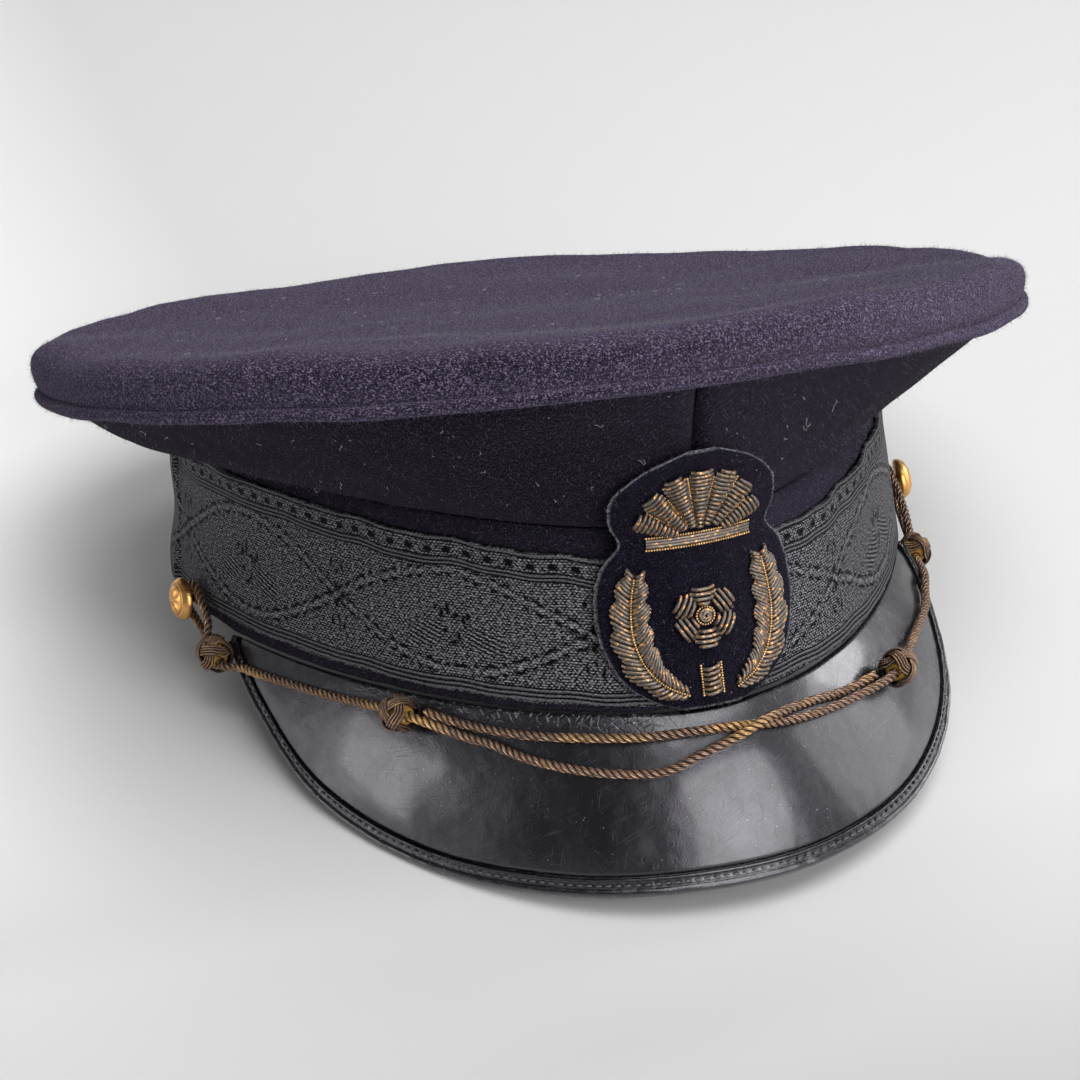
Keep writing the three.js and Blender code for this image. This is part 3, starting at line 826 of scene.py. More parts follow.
def thread_group(name):
    """Fine metal wires wound side by side: their relief, the gilt patches painted bright as glints, and the
    grooves between plies, for painted shade.
    """
    inputs = {"Wires Along": 0.0, "Wires Round": 7.0, "Patch Size": 0.004, "Bright": 0.6}
    group, tree, given, result = shader_group(name, inputs, ("Height", "Glint", "Grime", "Groove"))
    along, around_tube, _ = tree.add("ShaderNodeSeparateXYZ", {0: given["Vector"]}).outputs
    windings = tree.math("MULTIPLY", along, given["Wires Along"])
    turns = tree.math("MULTIPLY", around_tube, given["Wires Round"])
    height = tree.math("SINE", tree.math("MULTIPLY", tree.math("ADD", windings, turns), TURN))
    place = tree.add("ShaderNodeTexCoord").outputs["Object"]
    patches = tree.noise(place, tree.math("DIVIDE", 1.0, given["Patch Size"]), 3.0, 0.6)
    glint = tree.ramp(patches, tree.math("SUBTRACT", given["Bright"], 0.16), given["Bright"])
    inwards = tree.math("COSINE", tree.math("MULTIPLY", around_tube, TURN))
    grime = tree.noise(place, 900.0, 2.0)
    # Groove is 1 on the sides of a ply that face away from the outside, where painted shade goes.
    join(tree, result, height=height, glint=glint, grime=grime, groove=tree.ramp(inwards, 0.96, 0.2))
    return group


def new_material(name, **shader):
    """A material with a Principled shader whose plain values are set on its own sockets."""
    material = bpy.data.materials.new(name)
    material.use_nodes = True
    tree = Tree(material.node_tree)
    principled = material.node_tree.nodes["Principled BSDF"]
    for socket, value in shader.items():
        principled.inputs[socket_title(socket)].default_value = value
    return material, tree, principled


def tinted(colour, share):
    """A colour made darker or lighter by a share."""
    return tuple(share * value for value in colour)


def bump_normal(tree, height, distance, strength):
    inputs = {"Height": height, "Distance": distance, "Strength": strength}
    return tree.add("ShaderNodeBump", inputs).outputs[0]


def cloth_material(name, colour, fibre_colour, slant, stretch=0.3, sheen=0.6, flat=False):
    """Felted wool with a slanting nap, lighter fibre ends and slow patches of wear."""
    material, tree, principled = new_material(
        name, roughness=0.9, sheen_weight=sheen, sheen_roughness=0.42, sheen_tint=(0.8, 0.66, 1.0, 1.0),
        specular_ior_level=0.04,
    )
    vector = tree.add("ShaderNodeTexCoord").outputs["Object"]
    if flat:
        vector = tree.add("ShaderNodeUVMap", uv_map="UVMap").outputs[0]
    nap = use_group(tree, "Wool Nap", nap_group, vector, slant=slant, stretch=stretch).outputs
    specks = use_group(tree, "Dust Specks", dust_group, vector).outputs["Mask"]
    wear_and_shade = tree.mix(nap["Patches"], tinted(colour, 0.7), tinted(colour, 1.3))
    body = tree.mix(tree.ramp(nap["Height"], 0.43, 0.52), tinted(colour, 0.1), wear_and_shade)
    fibres = tree.mix(nap["Fibres"], body, fibre_colour)
    dusty = tree.mix(tree.math("MULTIPLY", specks, 0.8), fibres, (0.3, 0.27, 0.32))
    join(tree, principled, base_color=dusty, normal=bump_normal(tree, nap["Height"], 0.0022, 0.95))
    return material


def mottled_material(name, scale, dark, light, **shader):
    """A plain material whose colour wanders from a dark one to a light one."""
    material, tree, principled = new_material(name, **shader)
    place = tree.add("ShaderNodeTexCoord").outputs["Object"]
    join(tree, principled, base_color=tree.mix(tree.noise(place, scale), dark, light))
    return material


def fibre_material(name, colour):
    return mottled_material(
        name, 1400.0, tinted(colour, 0.4), tinted(colour, 1.5), roughness=0.8, specular_ior_level=0.3,
        sheen_weight=0.3,
    )


def figure_group(name, repeat):
    """The braid's borders, lattice, striped leaves and weave, from distances in millimetres: their relief, a
    tone that is painted highlight on raised parts, and a mask of hollows for painted shade.
    """
    inputs = dict.fromkeys(("Along", "Low", "High", "Hollow", "Leaves"), 0.0)
    group, tree, given, result = shader_group(name, inputs, ("Height", "Tone", "Dark"))
    along, low, high, hollow, leaves = (Field(tree, given[key]) for key in inputs)
    vector = given["Vector"]
    wander = Field(tree, tree.noise(vector, 260.0, 3.0, 0.6))
    fine = Field(tree, tree.noise(vector, 4200.0, 2.0, 0.7))
    thrums = Field(tree, tree.noise(tree.vector("MULTIPLY", vector, (0.4, 1.0, 1.0)), 2400.0, 2.0, 0.6))
    row = low / 0.58 + wander * 0.8
    column = along / 0.95 + np.floor(row) % 2 * 0.5 + wander * 1.5
    weave = (0.5 + 0.5 * np.sin(column * TURN)) * (0.5 + 0.5 * np.sin(row * TURN))
    border, border_dark = border_relief(along, low, high)
    step_along, step_up = 0.42, 0.34
    stepped_along = np.floor(along / step_along) * step_along
    stepped_low = np.floor((low + 0.17 * np.sin(along * 2.1)) / step_up) * step_up
    lattice, lattice_dark = lattice_relief(stepped_along, stepped_low, high + low - stepped_low, repeat)
    stripes = np.sin((low + 0.35 * along) * (TURN / 1.05)) * leaves
    plain = 1 - np.minimum(np.absolute(border), 0.8)
    figures = border + 0.7 * lattice + 0.7 * stripes
    dashes = np.minimum(np.maximum((thrums - 0.42) * 4.5, 0), 1)
    height = 0.42 * figures + (0.26 * weave + 0.16 * dashes) * plain + 0.1 * fine
    # Tone: painted highlight, lighter on the raised weave, dashes, figures and stripes, with a random tone
    # from the fine noise.
    tone = (0.5 * weave + 0.42 * dashes) * plain + 0.3 * figures + 0.45 * fine
    # Dark: painted shade in the hollows of the borders, lattice and figures, and in the troughs of the
    # stripes.
    dark = np.maximum(np.maximum(border_dark, lattice_dark), np.maximum(hollow, stripes * -0.7))
    join(tree, result, height=height.socket, tone=tone.socket, dark=dark.socket)
    return group


def braid_material(settings):
    """Mohair braid: short dashes of weave painted lighter on its raised threads as painted highlight, painted
    shade in the hollows of its figures, and shiny threads.
    """
    material, tree, principled = new_material("woven_braid", roughness=0.5, specular_ior_level=0.06)
    vector = tree.add("ShaderNodeUVMap", uv_map="UVMap").outputs[0]
    along = tree.add("ShaderNodeSeparateXYZ", {0: vector}).outputs[0]
    node = use_group(tree, "Braid Figures", lambda name: figure_group(name, settings.repeat / MM), vector)
    join(tree, node, along=tree.math("DIVIDE", along, MM))
    for socket, name in (("low", "low"), ("high", "high"), ("hollow", "mask"), ("leaves", "leaves")):
        value = tree.add("ShaderNodeAttribute", attribute_name=name).outputs["Fac"]
        join(tree, node, **{socket: value})
    figures = node.outputs
    # One braid colour spread from a tenth to ten times over by the tone: painted highlight on the raised
    # threads, painted shade on the low weave.
    woven = tree.mix(
        tree.ramp(figures["Tone"], 0.38, 1.0), tinted(settings.colour, 0.1), tinted(settings.colour, 10.5),
    )
    # Painted shade: near black in the hollows.
    shaded = tree.mix(tree.ramp(figures["Dark"], 0.12, 0.7), woven, (0.001, 0.001, 0.0013))
    rough = tree.ramp(figures["Tone"], 0.2, 0.9, 0.62, 0.42)
    normal = bump_normal(tree, figures["Height"], MM, 0.9)
    join(tree, principled, base_color=shaded, roughness=rough, normal=normal)
    return material


def leather_material(settings, name="polished_leather", wear_and_shade=True):
    """Polished black leather: soft waves, fine scratches, dust, and a cracked pale edge by the band."""
    material, tree, principled = new_material(
        name, roughness=0.26, specular_ior_level=0.75, coat_weight=0.5, coat_roughness=0.12,
        specular_tint=(0.93, 0.9, 1.0, 1.0),
    )
    vector = tree.add("ShaderNodeUVMap", uv_map="UVMap").outputs[0]
    place = tree.add("ShaderNodeTexCoord").outputs["Object"]
    waves = tree.noise(place, 45.0, 3.0, 0.5)
    grain = tree.noise(place, 2600.0, 3.0, 0.6)
    scratch_sets = []
    for angle, stretch, low in ((0.5, 0.035, 0.64), (-0.9, 0.05, 0.67), (1.45, 0.04, 0.66)):
        way = tree.add("ShaderNodeVectorRotate", {"Vector": vector, "Angle": angle}, rotation_type="Z_AXIS")
        thin = tree.vector("MULTIPLY", way.outputs[0], (stretch, 1.0, 1.0))
        lines = tree.noise(thin, 4200.0, 1.0, 0.4)
        patch = tree.ramp(tree.noise(vector, 120.0 + 60.0 * angle, 1.0), 0.42, 0.6)
        scratch_sets.append(tree.math("MULTIPLY", tree.ramp(lines, low, low + 0.06), patch))
    scratches = tree.math("MAXIMUM", tree.math("MAXIMUM", *scratch_sets[:2]), scratch_sets[2])
    smear = tree.noise(tree.vector("MULTIPLY", vector, (1.0, 0.35, 1.0)), 130.0, 4.0, 0.6)
    dust = use_group(tree, "Dust Specks", dust_group, vector, spacing=0.0015, size=0.06, amount=0.52)
    base = tree.mix(tree.math("MULTIPLY", scratches, 0.15), settings.colour, (0.05, 0.05, 0.06))
    base = tree.mix(tree.math("MULTIPLY", dust.outputs["Mask"], 0.8), base, (0.4, 0.4, 0.42))
    rough = tree.ramp(smear, 0.3, 0.7, 0.13, 0.34)
    rough = tree.math("ADD", rough, tree.math("MULTIPLY", scratches, 0.25))
    height = tree.math("ADD", tree.math("MULTIPLY", waves, 0.7), tree.math("MULTIPLY", grain, 0.045))
    height = tree.math("SUBTRACT", height, tree.math("MULTIPLY", scratches, 0.005))
    if wear_and_shade:
        edge = tree.add("ShaderNodeAttribute", attribute_name="mask").outputs["Fac"]
        cracks = tree.add(
            "ShaderNodeTexVoronoi", {"Vector": vector, "Scale": 420.0, "Randomness": 1.0},
            feature="DISTANCE_TO_EDGE",
        ).outputs["Distance"]
        flaky = tree.noise(vector, 900.0, 4.0, 0.75)
        pale = tree.math("MULTIPLY", edge, tree.ramp(flaky, 0.57, 0.63))
        base = tree.mix(tree.math("MULTIPLY", pale, 0.8), base, (0.2, 0.2, 0.225))
        crack = tree.math("MULTIPLY", edge, tree.ramp(cracks, 0.0, 0.08, 1.0, 0.0))
        base = tree.mix(crack, base, (0.003, 0.003, 0.004))
        rough = tree.math("ADD", rough, tree.math("MULTIPLY", edge, 0.08))
        height = tree.math("SUBTRACT", height, tree.math("MULTIPLY", crack, 0.06))
    join(tree, principled, base_color=base, roughness=rough, normal=bump_normal(tree, height, 0.004, 0.5))
    return material


def thread_material(name, thread, glint, along, rounds, bright, patch, relief, groove=0.0):
    """Tarnished metal thread with gilt patches painted bright as glints, and painted shade in the gaps
    between its turns and in the grooves between its plies.
    """
    material, tree, principled = new_material(name, metallic=0.75, roughness=0.36, specular_ior_level=0.6)
    vector = tree.add("ShaderNodeUVMap", uv_map="UVMap").outputs[0]
    wires = use_group(
        tree, "Metal Thread", thread_group, vector, wires_along=along, wires_round=rounds, bright=bright,
        patch_size=patch,
    ).outputs
    body = tree.mix(wires["Grime"], tinted(thread, 0.55), tinted(thread, 1.35))
    # Painted shade: darker where the wire's relief is low, between the turns.
    dark = tree.mix(tree.ramp(wires["Height"], -1.0, -0.2), tinted(thread, 0.25), body)
    # The gilt patches, painted bright as glints.
    gilt_and_glints = tree.mix(tree.math("MULTIPLY", wires["Glint"], 0.85), dark, glint)
    # Painted shade in the grooves between the plies.
    wear_and_shade = tree.mix(tree.math("MULTIPLY", wires["Groove"], groove), gilt_and_glints, tinted(thread, 0.05))
    rough = tree.ramp(wires["Grime"], 0.3, 0.7, 0.32, 0.52)
    normal = bump_normal(tree, wires["Height"], relief, 0.9)
    join(tree, principled, base_color=wear_and_shade, roughness=rough, normal=normal)
    return material


def gilt_material():
    material, tree, principled = new_material("gilt", metallic=1.0, roughness=0.3)
    place = tree.add("ShaderNodeTexCoord").outputs["Object"]
    hollow = tree.add("ShaderNodeAttribute", attribute_name="mask").outputs["Fac"]
    patina = tree.noise(place, 700.0, 4.0, 0.65)
    wear_and_shade = tree.mix(patina, (0.5, 0.24, 0.06), (0.88, 0.5, 0.18))
    shaded = tree.mix(tree.math("MULTIPLY", hollow, 0.85), wear_and_shade, (0.2, 0.09, 0.025))
    pitted = bump_normal(tree, tree.noise(place, 2400.0, 2.0), 0.00005, 0.5)
    rough = tree.ramp(patina, 0.3, 0.7, 0.26, 0.46)
    join(tree, principled, base_color=shaded, roughness=rough, normal=pitted)
    return material


def backing_material():
    """The badge's backing cloth, pale where its edge is cut."""
    material = cloth_material("badge_cloth", (0.003, 0.0025, 0.007), (0.022, 0.02, 0.045), 0.4, 0.9, 0.05)
    tree = Tree(material.node_tree)
    principled = material.node_tree.nodes["Principled BSDF"]
    body = principled.inputs["Base Color"].links[0].from_socket
    cut = tree.add("ShaderNodeAttribute", attribute_name="mask").outputs["Fac"]
    place = tree.add("ShaderNodeTexCoord").outputs["Object"]
    ragged = tree.math("MULTIPLY", cut, tree.ramp(tree.noise(place, 1500.0), 0.3, 0.6))
    join(tree, principled, base_color=tree.mix(ragged, body, (0.4, 0.4, 0.44)))
    return material


# Geometry Nodes.

def geometry_tree(name, inputs):
    """A geometry tree with named inputs after its geometry."""
    geometry = {"Geometry": "NodeSocketGeometry"}
    return new_group(name, "GeometryNodeTree", {**geometry, **inputs}, geometry)


def finish_tree(tree, geometry, result, material):
    """Ends a geometry tree in Realize Instances and Set Material."""
    real = tree.add("GeometryNodeRealizeInstances", {0: geometry}).outputs[0]
    painted = tree.add("GeometryNodeSetMaterial", {"Geometry": real})
    painted.inputs["Material"].default_value = material
    tree.tree.links.new(painted.outputs[0], result.inputs[0])


def grow(name, source_mesh, group, values, replaces=()):
    """Runs a geometry tree on a mesh, and keeps its result as a plain mesh piece."""
    piece = bpy.data.objects.new(name, source_mesh)
    bpy.context.scene.collection.objects.link(piece)
    modifier = piece.modifiers.new("Grow", "NODES")
    modifier.node_group = group
    sockets = {item.name: item.identifier for item in group.interface.items_tree if item.in_out == "INPUT"}
    for socket_name, value in values.items():
        modifier[sockets[socket_name]] = value
    evaluated = piece.evaluated_get(bpy.context.evaluated_depsgraph_get())
    mesh = bpy.data.meshes.new_from_object(evaluated)
    mesh.name = name
    piece.modifiers.remove(modifier)
    piece.data = mesh
    mesh.polygons.foreach_set("use_smooth", [True] * len(mesh.polygons))
    return dress(piece, replaces)


def scattered(tree, points, mesh, heading, length):
    """A copy of a mesh on each point, its Z turned to a heading and stretched by a length."""
    aim = tree.add("FunctionNodeAlignEulerToVector", {"Vector": heading}, axis="Z").outputs[0]
    scale = tree.add("ShaderNodeCombineXYZ", {0: 1.0, 1: 1.0, 2: length}).outputs[0]
    inputs = {"Points": points.outputs["Points"], "Instance": mesh, "Rotation": aim, "Scale": scale}
    return tree.add("GeometryNodeInstanceOnPoints", inputs).outputs[0]


def fibre_tree(name, material):
    """Short pointed fibres scattered on a surface, leaning with the nap."""
    group, tree, given, result = geometry_tree(name, {
        "Density": 400000.0,
        "Length": 0.001,
        "Thickness": 0.00003,
        "Nap": (0.4, 0.0, -0.6),
        "Tangle": 1.1,
        "Seed": 1,
    })
    fuzz = tree.add("GeometryNodeInputNamedAttribute", {"Name": "fuzz"}, data_type="FLOAT")
    density = tree.math("MULTIPLY", fuzz.outputs["Attribute"], given["Density"])
    points = tree.add(
        "GeometryNodeDistributePointsOnFaces",
        {"Mesh": given["Geometry"], "Density": density, "Seed": given["Seed"]},
    )
    cone = {"Vertices": 3, "Radius Top": 0.0, "Radius Bottom": given["Thickness"], "Depth": given["Length"]}
    fibre = tree.add("GeometryNodeMeshCone", cone).outputs["Mesh"]
    ways = {0: (-1, -1, -1), 1: (1, 1, 1), "Seed": 3}
    wild = tree.add("FunctionNodeRandomValue", ways, data_type="FLOAT_VECTOR").outputs[0]
    tangle = tree.add("ShaderNodeVectorMath", {0: wild, "Scale": given["Tangle"]}, operation="SCALE")
    lean = tree.vector("ADD", given["Nap"], tangle.outputs[0])
    heading = tree.vector("ADD", points.outputs["Normal"], lean)
    length = tree.add("FunctionNodeRandomValue", {2: 0.35, 3: 1.35, "Seed": 5}, data_type="FLOAT").outputs[1]
    finish_tree(tree, scattered(tree, points, fibre, heading, length), result, material)
    return group


def coil_tree(name, material):
    """Coiled bullion wire along each line of a mesh: a tube whose radius rises and falls with its turns."""
    inputs = {"Radius": 0.00045, "Coil Pitch": 0.0004, "Relief": 0.14, "Sides": 7}
    group, tree, given, result = geometry_tree(name, inputs)
    curve = tree.add("GeometryNodeMeshToCurve", {"Mesh": given["Geometry"]}).outputs[0]
    step = tree.math("DIVIDE", given["Coil Pitch"], 2.0)
    even = tree.add("GeometryNodeResampleCurve", {"Curve": curve, "Length": step}, mode="LENGTH").outputs[0]
    odd = tree.math("MODULO", tree.add("GeometryNodeInputIndex").outputs[0], 2.0)
    swell = tree.math("SUBTRACT", 1.0, tree.math("MULTIPLY", odd, given["Relief"]))
    radius = tree.math("MULTIPLY", given["Radius"], swell)
    profile = tree.add(
        "GeometryNodeCurvePrimitiveCircle", {"Resolution": given["Sides"], "Radius": 1.0}, mode="RADIUS",
    ).outputs[0]
    tubes = {"Curve": even, "Profile Curve": profile, "Scale": radius, "Fill Caps": True}
    finish_tree(tree, tree.add("GeometryNodeCurveToMesh", tubes).outputs[0], result, material)
    return group


def bead_tree(name, material):
    """Round beads at even steps along each line of a mesh."""
    group, tree, given, result = geometry_tree(name, {"Radius": 0.0004, "Pitch": 0.0008, "Long": 1.0})
    curve = tree.add("GeometryNodeMeshToCurve", {"Mesh": given["Geometry"]}).outputs[0]
    points = tree.add("GeometryNodeCurveToPoints", {"Curve": curve, "Length": given["Pitch"]}, mode="LENGTH")
    ball = {"Radius": given["Radius"], "Subdivisions": 2}
    bead = tree.add("GeometryNodeMeshIcoSphere", ball).outputs["Mesh"]
    beads = scattered(tree, points, bead, points.outputs["Tangent"], given["Long"])
    finish_tree(tree, beads, result, material)
    return group


def line_mesh(name, lines):
    """A mesh of loose lines, each a row of points in metres."""
    points, edges = [], []
    for line in lines:
        start = len(points)
        points.extend(np.asarray(line).tolist())
        edges.extend((start + k, start + k + 1) for k in range(len(line) - 1))
    mesh = bpy.data.meshes.new(name)
    mesh.from_pydata(points, edges, [])
    return mesh


# Cloth pieces.

def crown_grids():
    """The crown's outer and inner faces from the seam to the pole, and their places round and along it."""
    angle = full_turn(360)
    rise = around("rim_height", angle)
    mean = float(np.mean(AROUND["rim_height"]))
    waves = 0.5 * ring_ripple(angle, 100, 21, 5, 55, 140)
    control = [crown_point(angle, out, up * (rise + waves)) for out, up in RIM_SECTION]
    ridge = RIM_SECTION[-1][0]
    for share, dip in TOP_SECTION:
        lift = mean + (rise + waves - mean) * share - dip
        control.append(crown_point(angle, ridge, lift, share))
    outer = refine(np.stack(control, 1), 6)
    x, y = outer[..., 0], outer[..., 1]
    calm = np.clip(np.linspace(0, 1, outer.shape[1]) * 4 - 0.4, 0, 1)
    relief = calm * (0.55 * ripple(x, y, 31, 7, 45, 120) + 0.16 * ripple(x, y, 32, 9, 14, 34))
    outer = outer + grid_normals(outer, True) * relief[..., None]
    inner = outer - grid_normals(outer, True) * CLOTH
    return outer, inner[:, ::2] if outer.shape[1] % 2 else inner


def welt_rings():
    """The rings of the welt's section round the crown's seam."""
    angle = full_turn(420)[:, None]
    turn = full_turn(14)
    swell = 1 + 0.05 * ring_ripple(angle, 60, 41, 8, 9, 30)
    drift = 0.22 * ring_ripple(angle, 110, 42, 6, 20, 60)
    out = WELT["out"] + WELT["half_wide"] * swell * np.sin(turn)
    up = WELT["up"] + drift + WELT["half_high"] * swell * np.cos(turn)
    return placed(crown_point(angle + 0 * turn, out, up))


class CAP_OT_crown(bpy.types.Operator):
    """Makes the crown's top with its rolled rim, and the welt round its seam"""

    bl_idname = "cap.crown"
    bl_label = "Crown"

    def execute(self, context):
        settings = context.scene.cap_cloth
        outer, inner = crown_grids()
        rows, columns = outer.shape[:2]
        shape = wall(placed(outer), placed(inner), True, np.zeros(rows + 1), np.zeros(columns), domed=True)
        points = shape.points[0]
        # Seen from above, so that the nap runs one way.
        shape.uvs = [[(points[k][0], points[k][1]) for k in face] for face in shape.faces]
        # The crown's cloth and fibres are painted lighter than the wool's own colour. This lit copy is
        # painted light on the top, and the welt shares it.
        colour, fibres = tinted(settings.colour, 1.65), tinted(settings.fibre_colour, 2.5)
        cloth = cloth_material("crown_cloth", colour, fibres, 0.9, 0.55, 0.2)
        crown = make_piece("crown_cloth", shape, cloth, ["crown_top"])
        add_fuzz_weight(crown, outer.size // 3)
        rings = welt_rings()
        welt = Shape()
        u, v = np.linspace(0, 0.72, rings.shape[0] + 1), np.linspace(0, 0.0103, rings.shape[1] + 1)
        add_sleeve(welt, rings, u, v, closed=True, seam_last=True)
        add_fuzz_weight(make_piece("crown_welt", welt, cloth, ["crown_piping"]))
        return {"FINISHED"}


def add_fuzz_weight(piece, outer_count=None, weight=1.0):
    """Marks how thickly fibres grow on a piece's outer points, which come first."""
    values = np.full(len(piece.data.vertices), weight)
    values[outer_count or len(values):] = 0
    mark(piece, "fuzz", values)


class CAP_OT_quarters(bpy.types.Operator):
    """Makes the two cloth quarters between the band and the crown"""

    bl_idname = "cap.quarters"
    bl_label = "Quarters"

    def execute(self, context):
        settings = context.scene.cap_cloth
        # The quarters' cloth and fibres are painted far darker than the wool's own colour, a shaded copy as
        # painted shade.
        colour, fibres = tinted(settings.colour, 0.1), tinted(settings.fibre_colour, 0.28)
        cloth = cloth_material("quarter_cloth", colour, fibres, -0.85, 0.3, 0.1, flat=True)
        for name, low, high in (("right", -math.pi, 0.0), ("left", 0.0, math.pi)):
            angle = np.linspace(low + SEAM_GAP, high - SEAM_GAP, 241)
            height = around("braid_top", angle) + around("strip", angle) + 0.3
            start = band_point(angle, height, 0 * angle + BAND_FACE)
            run = crown_point(angle, QUARTER_END["out"], QUARTER_END["up"]) - start
            outwards = band_normal(angle, height)
            flare = np.sum(run * outwards, -1)
            square = outwards * run[:, 2:]
            square[:, 2] -= flare
            square = unit(square)
            share = np.linspace(0, 1, 27)
            length = np.linalg.norm(run, axis=-1)
            bow = 4 * share * (1 - share) * around("sag", angle)[:, None]
            s = angle[:, None] * 100 + 0 * share
            t = share * length[:, None]
            free = np.sin(share * math.pi) ** 0.7
            folds = 0.35 * ripple(s, t * 1.7, 51, 7, 26, 70) + 0.1 * ripple(s, t, 52, 8, 8, 18)
            seam = np.minimum(np.abs(angle), np.abs(np.abs(angle) - math.pi))[:, None] * 100
            dent = 0.9 * bump(seam, 1.1) - 0.25 * bump(seam - 3.2, 1.6)
            crease = 0.6 * bump(t, 1.3)
            rise = (bow + free * folds - dent - crease)[..., None]
            outer = start[:, None] + run[:, None] * share[:, None] + square[:, None] * rise
            inner = outer - square[:, None] * CLOTH
            shape = wall(placed(outer), placed(inner[:, ::2]), False, angle * 0.1, share * 0.03)
            piece = make_piece("quarter_cloth_" + name, shape, cloth, ["quarter_" + name])
            add_fuzz_weight(piece, outer.size // 3, 0.2)
        return {"FINISHED"}


# The band's rows of points, as shares of its height, closer together where it shows.
BAND_ROWS = [0, 0.006, 0.02, 0.05, 0.08, 0.12, 0.3, 0.5, 0.7, 0.82, 0.86, 0.9, 0.94, 0.97, 0.99, 1]


class CAP_OT_band(bpy.types.Operator):
    """Makes the cloth band that shows as a strip above and below the braid"""

    bl_idname = "cap.band"
    bl_label = "Band"

    def execute(self, context):
        settings = context.scene.cap_cloth
        angle = full_turn(480)
        top = (around("braid_top", angle) + around("strip", angle))[:, None]
        share = np.array(BAND_ROWS)
        height = top * share
        s = angle[:, None] * 92 + 0 * share
        edge = -0.75 * bump(height, 0.5) - 0.7 * bump(top - height, 0.8)
        lumps = 0.16 * ripple(s, height, 61, 9, 7, 25)
        outer = band_point(angle[:, None] + 0 * share, height, BAND_FACE + edge + lumps)
        inner = band_point(angle[:, None] + 0 * share, height, 0 * height + BAND_FACE - BAND_THICKNESS)
        u = np.linspace(0, 0.59, len(angle) + 1)
        shape = wall(placed(outer), placed(inner[:, ::3]), True, u, share * 0.042)
        fibres = tinted(settings.fibre_colour, 0.4)
        cloth = cloth_material("band_cloth", (0.008, 0.007, 0.014), fibres, 0.3, 0.8, 0.1)
        piece = make_piece("band_cloth", shape, cloth, ["head_band"])
        add_fuzz_weight(piece, outer.size // 3, 0.5)
        return {"FINISHED"}


# The braid.

def border_relief(along, low, high):
    """Relief of the braid's two borders, and a mask of their hollows that darkens the braid's colour as
    painted shade. low and high are the distances from its edges.
    """
    relief, hollow = 0 * along, 0 * along
    for centre in (0.7, 1.7, 2.7):
        relief = relief + bump(low - centre, 0.34)
        hollow = np.maximum(hollow, bump(low - centre - 0.5, 0.2))
    for centre in (0.4, 5.0, 5.8):
        relief = relief + bump(high - centre, 0.3)
    for centre in (0.95, 4.45, 5.4, 6.25):
        hollow = np.maximum(hollow, bump(high - centre, 0.2))
    block = (along / 5.1) % 1 - 0.5
    dark = 0.62 * np.exp(((block / 0.2) ** 4 + ((high - 2.9) / 0.7) ** 4) * -1)
    link = bump(np.absolute(block) - 0.33, 0.1) * bump(high - 2.2 + 0.6 * np.cos(block * TURN), 0.34)
    relief = relief - 0.9 * dark + 0.8 * link
    return relief, np.maximum(hollow, dark)


def lattice_relief(along, low, high, repeat):
    """Relief of the braid's two crossing waves of leaf-shaped dashes, and a mask of their outlines that
    darkens the braid's colour as painted shade.
    """
    middle = (low - high + 3.0) * 0.5
    swing = (low + high - 12.0) * 0.5
    phase = along * (math.pi / repeat)
    relief, hollow = 0 * along, 0 * along
    field = bump(np.maximum(4.2 - low, 0 * low), 0.5) * bump(np.maximum(7.0 - high, 0 * low), 0.5)
    for sign in (-1, 1):
        slope = swing * np.cos(phase) * (math.pi / repeat)
        off = (middle - sign * swing * np.sin(phase)) / np.sqrt(slope * slope + 1)
        leaf = np.absolute(np.sin(along * (math.pi / 3.6) + sign + 0.6 * np.sin(along * 0.9)))
        body = bump(off, 0.8) * leaf * (0.7 + 0.3 * np.sin(off * 9))
        outline = bump(np.absolute(off) - 0.45 - 0.7 * leaf, 0.4) * (0.1 + 0.9 * leaf * leaf)
        relief = relief + field * (1.1 * body - 0.9 * outline)
        hollow = np.maximum(hollow, field * outline)
    return relief, hollow


# Where round the band, as an angle from the front, a flower of the pattern sits.
FLOWER_AT = -0.349
# The braid's small figures as soft marks: across, up, half of the width, half of the height, slant.
FLOWER = [(-2.0, 0, 1.0, 0.62, 0), (2.0, 0, 1.0, 0.62, 0), (0, 2.0, 0.62, 1.0, 0), (0, -2.0, 0.62, 1.0, 0)]
SPRIGS = [
    (-1.6, 7.2, 0.42, 1.2, 0.25),
    (1.9, 6.8, 0.42, 1.2, -0.25),
    (0.3, 5.4, 0.42, 1.0, 0.25),
    (-1.8, -6.6, 0.42, 1.2, -0.25),
    (1.7, -7.0, 0.42, 1.2, 0.25),
    (0.2, -5.2, 0.42, 1.0, -0.25),
]
POSY = [
    (-2.9, 1.6, 0.6, 1.3, 0),
    (-1.1, 2.7, 0.5, 1.7, 0),
    (0.9, 1.3, 1.1, 0.6, 0),
    (2.7, 0.5, 0.5, 1.2, 0),
    (-0.2, -4.9, 1.0, 0.6, 0),
    (1.1, -3.5, 0.5, 1.1, 0),
    (3.9, 1.6, 0.5, 1.0, 0),
    (-4.4, 2.9, 0.5, 0.8, 0),
    (-2.2, -2.2, 0.7, 0.5, 0),
]


def figure_hollows(along, up, repeat):
    """How deep each point lies in the braid's small figures, and how much it is on their striped leaves. The
    depth also darkens the braid's colour as painted shade.
    """
    crossing = ((along / repeat + 0.5) % 1 - 0.5) * repeat
    between = ((along / repeat) % 1 - 0.5) * repeat
    hollow = 0 * along
    for place, marks in ((crossing, FLOWER), (crossing, SPRIGS), (between, POSY)):
        for across, height, wide, tall, slant in marks:
            leaned = place - across - slant * (up - height)
            hollow = np.maximum(hollow, bump(leaned, wide) * bump(up - height, tall))
    leaves = 0 * along
    for side in (-1, 1):
        off_x = between * side - 7.4
        off_y = up + 1.5 + 0.25 * between * side
        leaves = np.maximum(leaves, np.exp(-((off_x / 5.4) ** 4 + (off_y / 3.1) ** 4)))
    return hollow, leaves


